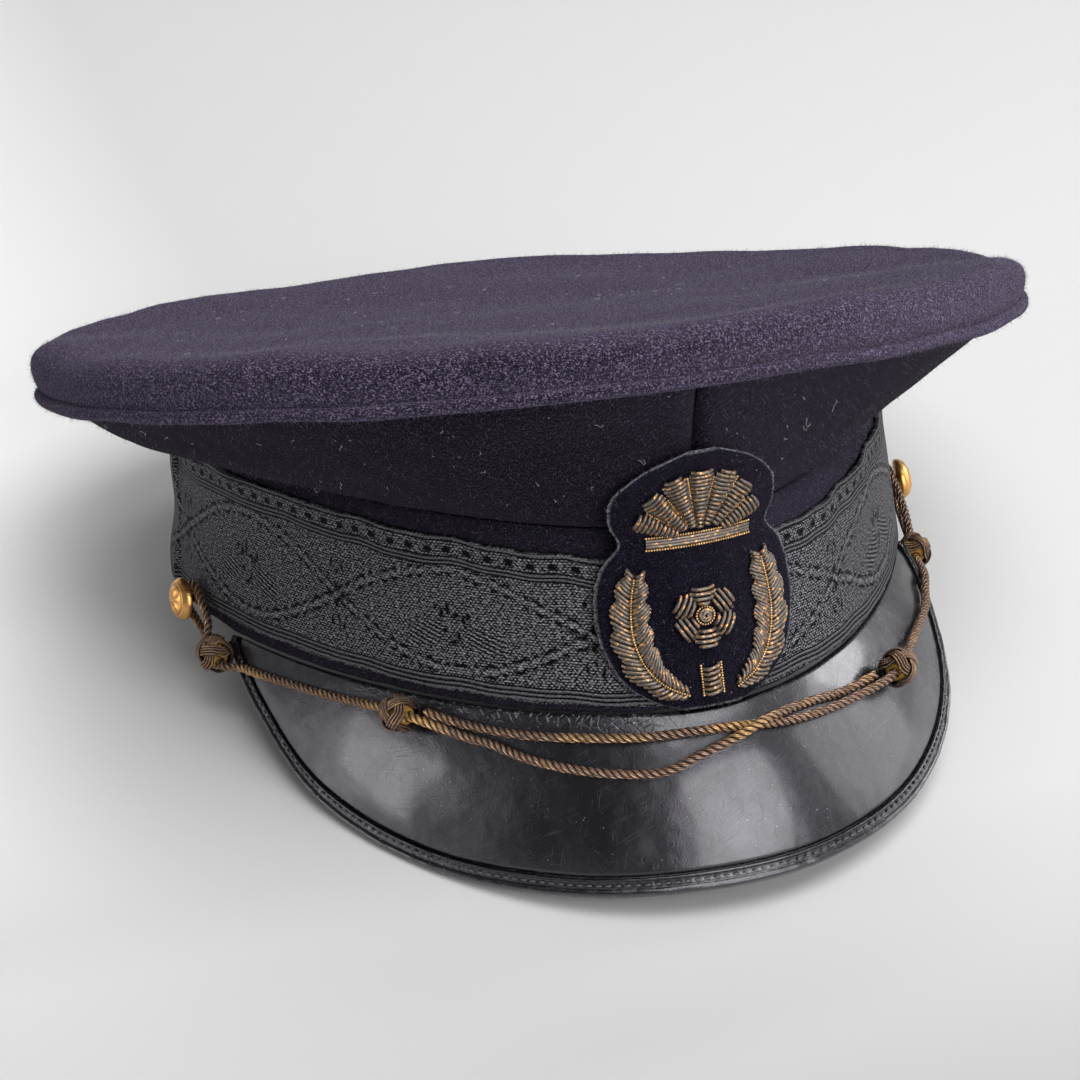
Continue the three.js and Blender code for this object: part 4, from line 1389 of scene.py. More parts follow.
class CAP_OT_braid(bpy.types.Operator):
    """Makes the woven braid round the band, with its ribbed borders, lattice and small figures"""

    bl_idname = "cap.braid"
    bl_label = "Braid"

    def execute(self, context):
        settings = context.scene.cap_braid
        angle = full_turn(1300)
        middle = band_surface(np.append(angle, -angle[0]), 18.0)
        s = running_length(middle)
        s = s - np.interp(FLOWER_AT, angle, s[:-1])
        low, high = around("braid_bottom", angle), around("braid_top", angle)
        share = np.linspace(0, 1, 74)
        waver = 0.3 * ripple(s[:-1], 0 * s[:-1], 71, 7, 9, 40)
        low, high = low + 0.5 * waver, high + waver
        height = low[:, None] + (high - low)[:, None] * share
        along = s[:-1, None] + 0 * share
        up = height - low[:, None]
        warp = 0.35 * ripple(along, up, 72, 8, 10, 35)
        middle_up = up - ((high - low)[:, None] - 3.0) / 2
        hollow, leaves = figure_hollows(along + warp, middle_up + 0.5 * warp, settings.repeat / MM)
        slack = 0.3 * ripple(along, up * 0.6, 73, 8, 14, 60)
        slack = slack + 0.5 * bump(share - 1, 0.12) * ripple(along, up, 74, 6, 12, 30)
        lap = np.degrees(angle)[:, None] + 103.5 + 0.8 * np.sin(share * 9)
        joint = 1.25 * np.clip(-lap / 0.9 + 0.5, 0, 1) * np.clip((lap + 9) / 2.4, 0, 1)
        joint = joint * (0.75 + 0.35 * np.sin(share * 8.3 + 0.6))
        figures = 0.45 * leaves - 1.2 * hollow
        out = BRAID_FACE + figures * settings.relief / MM + slack * 0.8 + joint
        out = np.maximum(out, -0.35)
        ends = height[:, [0, -1]]
        outer = band_point(angle[:, None] + 0 * share, height, out)
        inner = band_point(angle[:, None] + 0 * ends, ends, BRAID_BACK + 0 * ends)
        # The figures' hollows go in as the mask, which darkens the braid's colour as painted shade.
        shape = wall(placed(outer), placed(inner), True, s * MM, share * 0.0335, hollow)
        piece = make_piece("braid_weave", shape, braid_material(settings), ["mohair_braid"])
        below, above = up + 0.3 * warp, (high - low)[:, None] - up + 0.3 * warp
        for name, values in (("low", below), ("high", above), ("leaves", leaves)):
            mark(piece, name, np.append(values, np.zeros(ends.size)))
        return {"FINISHED"}


# The peak.

# The rolled edge's section from its inner lip to its underside: share of its width, height off the leather.
EDGE_SECTION = [
    (0.0, -0.9),
    (0.005, 0.25),
    (0.05, 0.62),
    (0.12, 0.66),
    (0.18, 0.36),
    (0.3, 0.28),
    (0.44, 0.34),
    (0.52, 0.3),
    (0.6, 0.62),
    (0.74, 0.95),
    (0.88, 0.72),
    (0.98, 0.0),
    (1.0, -1.0),
    (0.92, -2.1),
    (0.72, -2.6),
    (0.4, -2.4),
    (0.08, -2.1),
]


class CAP_OT_peak(bpy.types.Operator):
    """Makes the polished peak with its rolled edge and its row of stitches"""

    bl_idname = "cap.peak"
    bl_label = "Peak"

    def execute(self, context):
        settings = context.scene.cap_peak
        place = np.linspace(-PEAK_END, PEAK_END, 221)
        width = peak_width(place)
        reach = np.maximum(1 - LEATHER["rim_width"] / width, 0.05) - 0.25 / width
        share = np.linspace(0, 1, 33)
        across = share * reach[:, None]
        grid = place[:, None] + 0 * share
        mm_across = across * width[:, None]
        along = np.sin(grid * math.pi / 2) * 105
        dents = 0.16 * ripple(along, mm_across, 81, 8, 18, 60)
        calm = np.clip(share * 6, 0, 1) * np.clip((1 - share) * 8, 0, 1)
        outer = peak_point(grid, across, dents * calm)
        under = peak_point(grid[:, ::4], across[:, ::4], 0 * across[:, ::4] - LEATHER["thickness"])
        u, v = along[:, 0] * MM, share * 0.034
        edge_line = 3.2 + 1.0 * ripple(along, 0 * along, 82, 6, 8, 40)
        wear_and_shade = np.clip((edge_line - mm_across) / 1.0, 0, 1)
        wear_and_shade = wear_and_shade * (np.clip((0.03 - place) / 0.06, 0, 1) * np.clip((place + 0.5) / 0.1, 0, 1))[:, None]
        shape = wall(placed(outer), placed(under), False, u, v, wear_and_shade)
        make_piece("peak_leather", shape, leather_material(settings), ["peak"])
        self.rolled_edge(settings)
        return {"FINISHED"}

    def rolled_edge(self, settings):
        """The binding, puckered by its stitches, and the stitches themselves."""
        place = np.linspace(-RIM_END, RIM_END, 441)
        width = peak_width(place)
        rim_width = np.minimum(LEATHER["rim_width"], width)[:, None]
        section = refine(np.array(EDGE_SECTION + [EDGE_SECTION[0]]), 3)[:-1]
        across, height = section.T
        along = running_length(peak_point(place, 0 * place + 1, 0 * place))
        stitches = np.cos(along * MM / settings.stitch_pitch * TURN)[:, None]
        pucker = 0.16 * stitches * bump(across - 0.36, 0.16) * (height > 0)
        lumps = 0.06 * ripple(along[:, None] + 0 * across, across * 4, 91, 8, 3, 11) * (height > 0)
        share = 1 - rim_width * (1 - across) / width[:, None]
        rim = placed(peak_point(place[:, None] + 0 * share, share, height + pucker + lumps))
        shape = Shape()
        add_sleeve(shape, rim, along * MM, np.linspace(0, 0.013, len(section) + 1), False)
        leather = leather_material(settings, "edge_leather", wear_and_shade=False)
        make_piece("peak_binding", shape, leather, ["peak_rolled_edge"])
        line_place = np.linspace(-0.8, 0.8, 600)
        line_share = 1 - LEATHER["rim_width"] * 0.64 / peak_width(line_place)
        stitch_line = placed(peak_point(line_place, line_share, 0 * line_place + 0.42))
        thread = mottled_material(
            "stitch_thread", 1800.0, (0.012, 0.012, 0.015), (0.11, 0.11, 0.12), roughness=0.35,
            specular_ior_level=0.6,
        )
        group = bead_tree("Stitch Row", thread)
        values = {"Radius": 0.00026, "Pitch": settings.stitch_pitch, "Long": 2.6}
        grow("peak_stitches", line_mesh("stitch_line", [stitch_line]), group, values)


# Cords, knots and buttons.

def cord_curve(route, step=0.35):
    """Points at even steps on a centripetal curve through a cord's route, as the cord's solid follows it."""
    points = [np.array(p, float) for p in route]
    whole = [2 * points[0] - points[1], *points, 2 * points[-1] - points[-2]]
    fine = []
    for p0, p1, p2, p3 in zip(whole, whole[1:], whole[2:], whole[3:]):
        d0, d1, d2 = (math.sqrt(max(np.linalg.norm(b - a), 1e-4)) for a, b in ((p0, p1), (p1, p2), (p2, p3)))
        start = ((p1 - p0) / d0 - (p2 - p0) / (d0 + d1) + (p2 - p1) / d1) * d1
        end = ((p2 - p1) / d1 - (p3 - p1) / (d1 + d2) + (p3 - p2) / d2) * d1
        share = np.linspace(0, 1, 40, endpoint=False)[:, None]
        fine.append(p1 + start * share + (-3 * p1 + 3 * p2 - 2 * start - end) * share**2
                    + (2 * p1 - 2 * p2 + start + end) * share**3)
    fine = np.concatenate([*fine, [points[-1]]])
    length = running_length(fine)
    even = np.linspace(0, length[-1], int(length[-1] / step) + 1)
    return np.stack([np.interp(even, length, fine[:, k]) for k in range(3)], -1), float(length[-1])


PLIES = 3
PLY_RADIUS = 0.53
PLY_REACH = 0.545


def add_knot(shape, centre, axis, seed):
    """A woven ball knot: four wires side by side that go three times round and weave over and under."""
    leads, bights, wires = 3, 4, 4
    half = KNOT["length"] / 2 - 0.55
    radius = KNOT["diameter"] / 2 - 0.75
    bore = KNOT["bore"] / 2
    wire = 0.3
    t = np.arange(420) / 420 * TURN * leads
    wave = t * bights / leads
    middle = half * 0.86 * np.cos(wave)
    slope = -half * 0.86 * np.sin(wave) * bights / leads
    girth = radius * np.sqrt(np.maximum(1 - (middle / (half * 1.12)) ** 2, 0.05))
    speed = np.hypot(girth, slope)
    for k in range(wires):
        shift = (k - (wires - 1) / 2) * wire * 1.86
        z = middle + shift * girth / speed
        angle = t - shift * slope / speed / np.maximum(girth, 0.8)
        belly = np.sqrt(np.maximum(1 - (z / (half * 1.14)) ** 2, 0.03))
        weave = 0.33 * np.sin(2 * wave) + 0.05 * np.sin(5 * t + seed + k)
        reach = bore + wire + (radius - bore) * belly + weave
        outward = np.stack([np.cos(angle), np.sin(angle), 0 * z], -1)
        path = outward * reach[:, None]
        path[:, 2] = z * 1.02
        line, raised = (placed(turned(points, centre, axis)) for points in (path, path + outward))
        tube(shape, line, wire * MM, 6, closed=True, up=raised - line)


def add_knot_core(shape, centre, axis):
    """The dark padding inside a knot, a barrel with a bore for the cord."""
    half = KNOT["length"] / 2 - 0.7
    bore = KNOT["bore"] / 2 - 0.25
    swell = KNOT["diameter"] / 2 - 1.35 - bore
    profile = [(bore + swell * math.sqrt(max(1 - s * s, 0)), half * s) for s in np.linspace(-1, 1, 9)]
    profile += [(bore - 0.01, half * s) for s in (0.9, 0.0, -0.9)]
    turn = -np.arange(20) / 20 * TURN
    rings = np.array([[(r * math.cos(a), r * math.sin(a), z) for r, z in profile] for a in turn])
    add_sleeve(shape, placed(turned(rings, centre, axis)), np.zeros(21), np.zeros(len(profile) + 1), True)


class CAP_OT_cords(bpy.types.Operator):
    """Makes the two twisted metal cords and the woven knots that they run through"""

    bl_idname = "cap.cords"
    bl_label = "Cords and knots"

    def execute(self, context):
        settings = context.scene.cap_cords
        thread, glint = settings.thread, settings.glint
        cord_metal = thread_material("cord_thread", thread, glint, 900.0, 5.0, 0.66, 0.022, 0.0001, 0.95)
        dull = tinted(thread, 0.85)
        knot_metal = thread_material("knot_thread", dull, glint, 2600.0, 1.0, 0.7, 0.0016, 0.00006, 0.95)
        padding = mottled_material("knot_core", 900.0, (0.02, 0.012, 0.006), (0.5, 0.27, 0.03), roughness=0.7)
        knots = {}
        for seed, (name, (cord_name, index)) in enumerate(KNOTS.items()):
            before, centre, after = (np.array(CORD_ROUTES[cord_name][index + k]) for k in (-1, 0, 1))
            axis = unit(after - before)
            shape = Shape()
            add_knot(shape, centre, axis, seed)
            wire_faces = len(shape.faces)
            add_knot_core(shape, centre, axis)
            piece = make_piece(name.replace("knot", "woven_knot"), shape, knot_metal, [name])
            piece.data.materials.append(padding)
            painted = np.zeros(len(piece.data.polygons), np.int32)
            painted[wire_faces:] = 1
            piece.data.polygons.foreach_set("material_index", painted)
            knots.setdefault(cord_name, []).append(piece)
        for name, route in CORD_ROUTES.items():
            path, length = cord_curve(route)
            first, second = carried_frame(path)
            run = np.arange(len(path)) * length / (len(path) - 1)
            shape = Shape()
            for ply in range(PLIES):
                turn = run / (settings.lay_length / MM) * TURN + ply * TURN / PLIES
                outward = first * np.cos(turn)[:, None] + second * np.sin(turn)[:, None]
                strand, raised = placed(path + outward * PLY_REACH), placed(path + outward * (PLY_REACH + 1))
                tube(shape, strand, PLY_RADIUS * MM, 9, up=raised - strand)
            piece = make_piece(name.replace("cord", "twisted_cord"), shape, cord_metal, [name])
        return {"FINISHED"}


def button_shape():
    """A button about Z on its shank, with a ring and a rosette raised on its dome."""
    radius, edge, rise = (BUTTON[key] for key in ("radius", "edge", "rise"))
    shank, length = BUTTON["shank_radius"], BUTTON["shank_length"]
    back = [(0, 0), (shank, 0), (shank, length), (radius * 0.86, length)]
    rim = [(radius * 0.97, length + 0.12), (radius, length + 0.4)]
    dome_turn = np.linspace(0, math.pi / 2, 34)
    dome = [(radius * math.cos(t), length + edge + rise * math.sin(t)) for t in dome_turn[:-1]]
    profile = np.array([*back, *rim, *dome, (0, length + edge + rise)])

    def relief(reach, turn, height):
        share = reach / radius
        ring = 0.14 * bump(share - 0.8, 0.04) - 0.1 * bump(share - 0.72, 0.035)
        petals = 0.16 * np.cos(turn * 6) * np.clip(share * 4, 0, 1) * bump(share - 0.42, 0.17)
        return (ring + petals + 0.22 * bump(share, 0.13)) * (height > length + edge + 0.05)

    share = profile[:, 0] / radius
    hollow = np.clip(bump(share - 0.72, 0.04) + 0.6 * bump(share - 0.2, 0.07), 0, 1)
    shape = Shape()
    lathe(shape, profile, 72, hollow * (profile[:, 1] > length + edge * 0.9), relief)
    return shape


class CAP_OT_buttons(bpy.types.Operator):
    """Makes the two gilt buttons, domed, with a plain ring and a rosette"""

    bl_idname = "cap.buttons"
    bl_label = "Buttons"

    def execute(self, context):
        metal = gilt_material()
        lean = math.radians(BUTTON["tilt_deg"])
        seat = BUTTON_SEAT + BUTTON["shank_radius"] * math.sin(lean)
        for name, (angle_deg, height) in BUTTON_PLACES.items():
            angle = math.radians(angle_deg)
            aim = band_normal(angle, height) * math.cos(lean)
            aim[2] = math.sin(lean)
            shape = button_shape()
            shape.points = [placed(turned(shape.points[0], band_point(angle, height, seat), aim))]
            make_piece(name.replace("button", "gilt_button"), shape, metal, [name])
        return {"FINISHED"}


# The badge.

BULLION_FOOT = 1.5


def rib(left, right, steps=6, rise=1.15):
    """A line over the padding from one edge to the other, both given as across and height on the badge."""
    share = np.linspace(0, 1, steps)
    across, height = (start + (end - start) * share for start, end in zip(left, right))
    top = min(rise, 0.32 * math.dist(left, right) + 0.25)
    out = BULLION_FOOT + 0.22 + top * np.sqrt(np.maximum(1 - (2 * share - 1) ** 2, 0))
    return placed(badge_point(across, height, out))


def compass(lean):
    """The way that an angle from upright points on the badge, and the way square to it."""
    heading = np.array([math.sin(lean), math.cos(lean)])
    return heading, np.array([heading[1], -heading[0]])


def thread_line(points, out):
    """A smooth line over the badge through a few points given as across and height."""
    across, height = refine(np.array(points, float), 8).T
    return placed(badge_point(across, height, BULLION_FOOT + out))


def spray_lines(side, pitch):
    """The slanting ribs of a leafy spray on both sides of its spine, and the spine's bead line."""
    ribs = []
    table = interpolate(SPRAY_SPINE, np.linspace(0, 1, 160))
    centre, half = table[:, :2], table[:, 2]
    run = unit(np.gradient(centre, axis=0))
    square = np.stack([-run[:, 1], run[:, 0]], -1)
    length = running_length(centre)
    for k in range(int(length[-1] / pitch)):
        at = (k + 0.5) * pitch
        row = int(np.interp(at, length, np.arange(len(length))))
        leaf = 0.72 + 0.28 * abs(math.sin(at / length[-1] * math.pi * 5.5))
        reach = half[row] * leaf
        for hand in (-1, 1):
            inner = centre[row] + square[row] * hand * 0.25
            tip = centre[row] + square[row] * hand * reach + run[row] * reach * 0.75
            ribs.append(rib((side * inner[0], inner[1]), (side * tip[0], tip[1]), 7, 0.85))
    return ribs, [thread_line(centre[::10] * (side, 1), 0.75)]


def fan_lines(pitch):
    """The lobes of the fan, each a stack of short ribs, and the bead lines between them."""
    ribs, beads = [], []
    lobes = FAN["lobes"]
    spread = math.radians(FAN["spread_deg"])
    widening = math.tan(spread / (lobes - 1)) * 0.86
    focus = np.array([0.0, FAN["root_height"]])
    for k in range(lobes):
        share = k / (lobes - 1) * 2 - 1
        reach = FAN["middle_length"] + (FAN["side_length"] - FAN["middle_length"]) * abs(share) ** 1.4
        heading, square = compass(spread * share)
        edge = []
        for at in np.arange(FAN["clear"] + 2.2 * abs(share), reach, pitch):
            tip = max(at - (reach - 2.4), 0) / 2.4
            half = widening * at * math.sqrt(max(1 - tip * tip, 0.1))
            centre = focus + heading * at
            ribs.append(rib(centre - square * half, centre + square * half, rise=1.0))
            edge.append(centre + square * widening * 1.14 * at)
        if k < lobes - 1:
            beads.append(thread_line(edge[::4], 0.3))
    return ribs, beads


def rosette_lines(pitch):
    """The petals' ribs and the spiral in the middle, and the bead ring round it."""
    ribs = []
    middle = np.array([0.0, ROSETTE["height"]])
    reach = ROSETTE["radius"] - 0.5
    count = int((reach - 2.2) / pitch)
    for k in range(ROSETTE["petals"]):
        heading, square = compass(TURN * k / ROSETTE["petals"])
        for m in range(count):
            at = (m + 0.25 + 0.5 * (k % 2)) / count
            half = 0.7 + 1.9 * math.sin(at * math.pi * 0.86) ** 0.9
            centre = middle + heading * (2.4 + (reach - 2.4) * at)
            ribs.append(rib(centre - square * half, centre + square * half, rise=0.9))
    ring = [middle + 1.9 * compass(angle)[0] for angle in np.linspace(0, TURN, 17)]
    turn = np.linspace(0, 2.2 * TURN, 60)
    across, height = middle[:, None] + np.stack([np.sin(turn), np.cos(turn)]) * (0.25 + turn * 0.085)
    ribs.append(placed(badge_point(across, height, BULLION_FOOT + 1.25 - turn * 0.045)))
    return ribs, [thread_line(ring, 0.5)]


def bar_lines():
    """Three ribs along the bar, and a bead line along either edge."""
    half, low, high = BAR["half_width"], BAR["low"], BAR["high"]

    def level(height, out):
        return thread_line([(share * half, height) for share in (-1, -0.5, 0, 0.5, 1)], out)

    ribs = [level(height, 0.5) for height in (low + 0.75, (low + high) / 2, high - 0.75)]
    return ribs, [level(height, 0.6) for height in (low, high)]


def tie_lines(pitch):
    """The slanting ribs of the tie, and a bead line along either side."""
    half, low, high = TIE["half_width"], TIE["low"], TIE["high"]
    count = int((high - low) / pitch)
    heights = [low + (k + 0.5) * (high - low) / count for k in range(count)]
    ribs = [rib((-half, height - 0.35), (half, height + 0.35)) for height in heights]
    sides = [[(side * (half + 0.45), height) for height in (low, 6.0, high)] for side in (-1, 1)]
    return ribs, [thread_line(side, 0.3) for side in sides]


class CAP_OT_badge(bpy.types.Operator):
    """Makes the badge: a cloth backing, and a fan, bar, rosette, sprays and tie in coiled bullion"""

    bl_idname = "cap.badge"
    bl_label = "Badge"

    def execute(self, context):
        settings = context.scene.cap_badge
        pitch = settings.rib_pitch / MM
        self.backing()
        # Amber and straw paint the gilt patches of the bullion and its beads bright, as painted glints.
        amber, straw, bead = (1.0, 0.5, 0.17), (0.9, 0.62, 0.3), tinted(context.scene.cap_cords.glint, 0.7)
        metal = thread_material("bullion_wire", settings.wire, amber, 0.0, 0.0, 0.7, 0.0009, 0.00001)
        gold = thread_material("bullion_beads", bead, straw, 0.0, 0.0, 0.6, 0.0012, 0.00001)
        coil, beads = coil_tree("Bullion Coil", metal), bead_tree("Bullion Beads", gold)
        wire = {"Radius": 0.00046, "Coil Pitch": settings.coil_pitch, "Relief": 0.16, "Sides": 7}
        row = {"Radius": 0.00027, "Pitch": 0.00056, "Long": 1.0}
        parts = {
            "spray_right": spray_lines(1, pitch),
            "spray_left": spray_lines(-1, pitch),
            "fan": fan_lines(pitch),
            "rosette": rosette_lines(pitch),
            "bar": bar_lines(),
            "tie": tie_lines(pitch),
        }
        for name, (ribs, lines) in parts.items():
            grow("bullion_" + name, line_mesh(name + "_ribs", ribs), coil, wire, ["badge_" + name])
            grow("bullion_" + name + "_beads", line_mesh(name + "_beads", lines), beads, row)
        return {"FINISHED"}

    def backing(self):
        """The backing cloth, ragged where its edge is cut."""
        outline = refine(np.array(BACKING_OUTLINE, float), 8)
        heights = np.linspace(0, outline[-1, 0], 88)
        left, right = (np.interp(heights, outline[:, 0], outline[:, k])[:, None] for k in (1, 2))
        share = np.concatenate([[0, 0.006], np.linspace(0.02, 0.98, 36), [0.994, 1]])
        across = left + (right - left) * share
        height = heights[:, None] + 0 * share
        ragged = 0.16 * ripple(across * 6, height * 6, 95, 9, 7, 22)
        rim = np.minimum(across - left, right - across)
        rim = np.minimum(rim, np.minimum(height, heights[-1] - height))
        cut = np.clip(1 - rim / 0.5, 0, 1)
        out = BADGE["thickness"] - 0.3 * bump(rim, 0.3) + 0.1 * ripple(across, height, 96, 8, 4, 15)
        outer = badge_point(across + ragged * cut, height, out)
        back = badge_point(across + ragged * cut, height, 0.05)
        inner = back[:, ::3]
        inner[:, -1] = back[:, -1]
        shape = wall(placed(outer), placed(inner), False, heights * MM, share * 0.043, cut)
        piece = make_piece("badge_backing", shape, backing_material(), ["badge_patch"])
        mark(piece, "fuzz", np.append(0.25 + 3.0 * cut, np.zeros(inner.size // 3)))


# Raised fibres and lint.

class CAP_OT_fibres(bpy.types.Operator):
    """Scatters raised wool fibres on the cloth, and a few pale pieces of lint"""

    bl_idname = "cap.fibres"
    bl_label = "Fibres and lint"

    def execute(self, context):
        settings = context.scene.cap_cloth
        seed = context.scene.cap_stage.seed
        group = fibre_tree("Wool Fibres", fibre_material("wool_fibres", settings.fibre_colour))
        values = {
            "Density": settings.fibre_density * 1.0,
            "Length": settings.fibre_length,
            "Thickness": 0.000042,
            "Tangle": 1.1,
            "Seed": seed,
        }
        for name, nap in (
            ("crown_cloth", (0.5, -0.2, 0.0)),
            ("crown_welt", (0.3, 0.0, 0.0)),
            ("quarter_cloth_right", (0.7, 0.0, -0.9)),
            ("quarter_cloth_left", (0.7, 0.0, -0.9)),
            ("band_cloth", (0.2, 0.0, -0.3)),
            ("badge_backing", (0.0, 0.0, 0.1)),
        ):
            source = bpy.data.objects[name].data.copy()
            grow(name + "_fibres", source, group, {**values, "Nap": nap})
        self.lint(seed)
        return {"FINISHED"}

    def lint(self, seed):
        """Curled pale hairs that lie on the cloth and the peak."""
        draw = np.random.default_rng(seed)
        shape = Shape()
        places = []
        for _ in range(70):
            angle = draw.uniform(-1.9, 0.35)
            share = draw.uniform(0.15, 0.85)
            height = around("braid_top", angle) + around("strip", angle) + 0.3
            start = band_point(angle, height, BAND_FACE)
            end = crown_point(angle, QUARTER_END["out"], QUARTER_END["up"])
            sag = 4 * share * (1 - share) * around("sag", angle)
            out = band_normal(angle, height)
            places.append((start + (end - start) * share + out * (sag + 0.45), out))
        for _ in range(60):
            angle, share = draw.uniform(-math.pi, math.pi), draw.uniform(0.2, 0.97)
            top = crown_point(angle, RIM_SECTION[-1][0], around("rim_height", angle) - 1.7, share)
            places.append((top + np.array([0, 0, 0.8]), np.array([0, 0.17, 0.98])))
        for centre, normal in places:
            size = draw.uniform(0.3, 1.0)
            first = unit(np.cross(normal, draw.normal(size=3)))
            second = np.cross(normal, first)
            t = np.linspace(0, draw.uniform(2.2, 5.0), 12)
            bend = draw.uniform(0.4, 1.3, 2)
            curl = np.stack([t * 0.6 + 0.4 * bend[0] * np.cos(t), 0.5 * bend[1] * np.sin(t * 1.1)], -1) * size
            lift = 0.15 * np.sin(t * 2)[:, None]
            path = centre + first * curl[:, :1] + second * curl[:, 1:] + normal * lift
            tube(shape, placed(path), 0.000035, 4)
        make_piece("cloth_lint", shape, fibre_material("lint", (0.6, 0.57, 0.55)))


# The stage.

# The camera: its turn, height and roll in degrees, what it looks at and how far away it is, in metres.
CAMERA = {
    "azimuth": -17.857,
    "elevation": 30.712,
    "roll": -1.159,
    "target": (-0.00129, 0.01326, 0.01664),
    "distance": 0.69764,
}
# The soft boxes: place, the point that each looks at, width, height, and power as a share of the key.
SOFT_BOXES = {
    "key": ((1.175, 0.228, 0.508), (0.0, 0.0, 0.03), 0.4, 0.3, 0.36),
    "overhead": ((0.2, -0.46, 1.4), (0.0, 0.0, 0.0), 1.2, 0.9, 1.8),
    "front": ((0.302, -1.167, 0.487), (0.0, 0.0, 0.05), 0.92, 0.8, 1.4),
    "right": ((1.227, -0.239, 0.358), (0.0, 0.0, 0.05), 0.74, 0.8, 0.5),
    "left": ((-1.25, 0.06, 0.2), (0.0, 0.0, 0.05), 0.42, 0.5, 0.34),
    "backdrop": ((0.75, 1.0, 1.9), (0.65, 2.1, 0.6), 1.8, 0.5, 2.1),
}
# The floor, in metres: half its width, where it starts in front, where and how it bends up, and its top.
FLOOR = {"half_width": 3.5, "front": -3.0, "bend_at": 1.2, "bend_radius": 0.9, "top": 3.2}
AMBIENT = 0.15


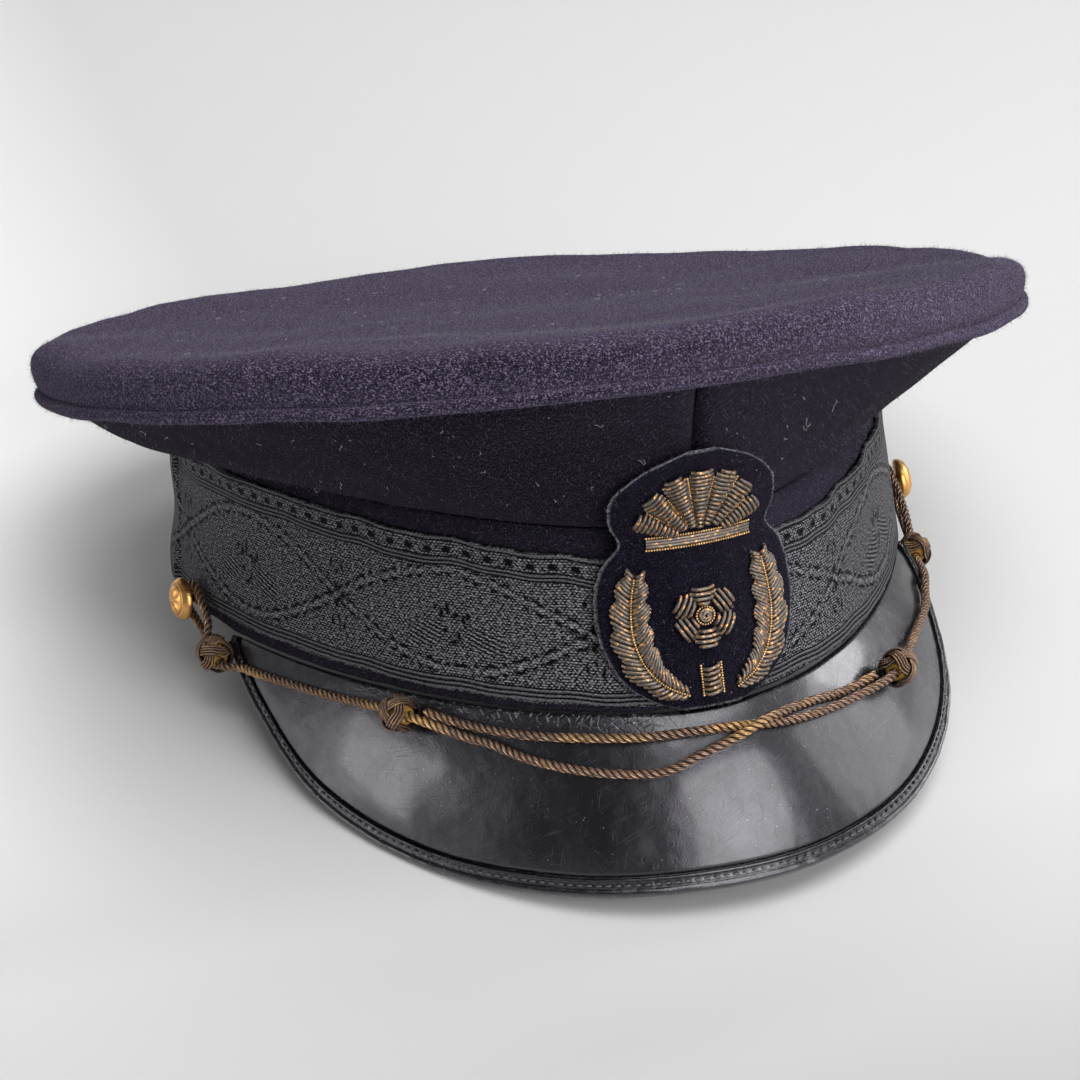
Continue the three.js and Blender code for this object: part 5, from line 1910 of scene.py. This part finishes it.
class CAP_OT_stage(bpy.types.Operator):
    """Makes the pale floor with its raised back, the soft boxes and the camera"""

    bl_idname = "cap.stage"
    bl_label = "Stage"

    def execute(self, context):
        settings = context.scene.cap_stage
        self.floor(settings)
        for name, (place, target, width, height, share) in SOFT_BOXES.items():
            light = bpy.data.lights.new(name + "_box", "AREA")
            light.shape = "RECTANGLE"
            light.size, light.size_y = width, height
            light.energy = settings.key_power * share
            box = bpy.data.objects.new(name + "_box", light)
            context.scene.collection.objects.link(box)
            box.location = place
            box.rotation_euler = (Vector(target) - Vector(place)).to_track_quat("-Z", "Y").to_euler()
        world = bpy.data.worlds.new("studio")
        world.use_nodes = True
        background = world.node_tree.nodes["Background"]
        background.inputs["Color"].default_value = (1.0, 1.0, 1.0, 1.0)
        background.inputs["Strength"].default_value = AMBIENT
        context.scene.world = world
        context.scene.view_settings.view_transform = "Standard"
        self.camera(context, settings)
        return {"FINISHED"}

    def floor(self, settings):
        """A floor that curves up far behind the cap."""
        half, start, radius = FLOOR["half_width"], FLOOR["bend_at"], FLOOR["bend_radius"]
        line = [(y, 0.0) for y in (FLOOR["front"], -1.0, 0.6, start)]
        for angle in np.linspace(0.1, math.pi / 2, 14):
            line.append((start + radius * math.sin(angle), radius - radius * math.cos(angle)))
        line.append((start + radius, FLOOR["top"]))
        points = [(x, y, z) for y, z in line for x in (-half, half)]
        faces = [(2 * k, 2 * k + 1, 2 * k + 3, 2 * k + 2) for k in range(len(line) - 1)]
        mesh = bpy.data.meshes.new("floor")
        mesh.from_pydata(points, [], faces)
        mesh.polygons.foreach_set("use_smooth", [True] * len(faces))
        material, tree, principled = new_material("floor", roughness=0.35, specular_ior_level=0.25)
        place = tree.add("ShaderNodeTexCoord").outputs["Object"]
        across, depth, _ = tree.add("ShaderNodeSeparateXYZ", {0: place}).outputs
        # The floor's colour is painted: darker in front of the cap as painted shade, lighter far back, and
        # lighter to the left of the cap as painted light over its cast shadow.
        near, far, side = (tinted(settings.floor_colour, share) for share in (0.64, 1.14, 1.72))
        ahead = tree.mix(tree.ramp(depth, -0.24, -0.1), near, far)
        beside = tree.math("MULTIPLY", tree.ramp(across, -0.04, -0.16), tree.ramp(depth, -0.08, 0.04))
        join(tree, principled, base_color=tree.mix(beside, ahead, side))
        mesh.materials.append(material)
        floor = bpy.data.objects.new("floor", mesh)
        bpy.context.scene.collection.objects.link(floor)

    def camera(self, context, settings):
        """The camera at the photo's angle, without depth of field."""
        azimuth, elevation, roll = (math.radians(CAMERA[key]) for key in ("azimuth", "elevation", "roll"))
        right = Vector((math.cos(azimuth), math.sin(azimuth), 0))
        level = Vector((math.sin(azimuth), -math.cos(azimuth), 0))
        back = level * math.cos(elevation) + Vector((0, 0, math.sin(elevation)))
        up = back.cross(right)
        axis_x = right * math.cos(roll) + up * math.sin(roll)
        axis_y = back.cross(axis_x)
        data = bpy.data.cameras.new("photo_camera")
        data.lens = settings.lens
        data.sensor_width = 36.0
        camera = bpy.data.objects.new("photo_camera", data)
        context.scene.collection.objects.link(camera)
        rotation = Matrix((axis_x, axis_y, back)).transposed().to_4x4()
        place = Vector(CAMERA["target"]) + back * CAMERA["distance"]
        camera.matrix_world = Matrix.Translation(place) @ rotation
        context.scene.camera = camera


class CAP_PT_panel(bpy.types.Panel):
    """Lists the cap's pieces and their sizes and colours"""

    bl_label = "Conductor Cap"
    bl_idname = "CAP_PT_panel"
    bl_space_type = "VIEW_3D"
    bl_region_type = "UI"
    bl_category = "Cap"

    def draw(self, context):
        for settings_name, operators in PIECES:
            box = self.layout.box()
            settings = getattr(context.scene, settings_name)
            for field in settings.__annotations__:
                box.prop(settings, field)
            for operator in operators:
                box.operator(operator)


# Each group of settings with the operators that it drives, in the order in which they run.
PIECES = (
    ("cap_stage", ("cap.stage",)),
    ("cap_cords", ("cap.cords", "cap.buttons")),
    ("cap_cloth", ("cap.crown", "cap.quarters", "cap.band")),
    ("cap_braid", ("cap.braid",)),
    ("cap_peak", ("cap.peak",)),
    ("cap_badge", ("cap.badge",)),
    ("cap_cloth", ("cap.fibres",)),
)
SETTINGS = {
    "cap_cloth": CapClothSettings,
    "cap_braid": CapBraidSettings,
    "cap_peak": CapPeakSettings,
    "cap_cords": CapCordSettings,
    "cap_badge": CapBadgeSettings,
    "cap_stage": CapStageSettings,
}
CLASSES = (
    *SETTINGS.values(),
    CAP_OT_crown,
    CAP_OT_quarters,
    CAP_OT_band,
    CAP_OT_braid,
    CAP_OT_peak,
    CAP_OT_cords,
    CAP_OT_buttons,
    CAP_OT_badge,
    CAP_OT_fibres,
    CAP_OT_stage,
    CAP_PT_panel,
)


def register():
    for item in CLASSES:
        bpy.utils.register_class(item)
    for name, group in SETTINGS.items():
        setattr(bpy.types.Scene, name, PointerProperty(type=group))


def unregister():
    for name in SETTINGS:
        delattr(bpy.types.Scene, name)
    for item in reversed(CLASSES):
        bpy.utils.unregister_class(item)


def main():
    register()
    for _, operators in PIECES:
        for operator in operators:
            group, name = operator.split(".")
            getattr(getattr(bpy.ops, group), name)()


if __name__ == "__main__":
    main()
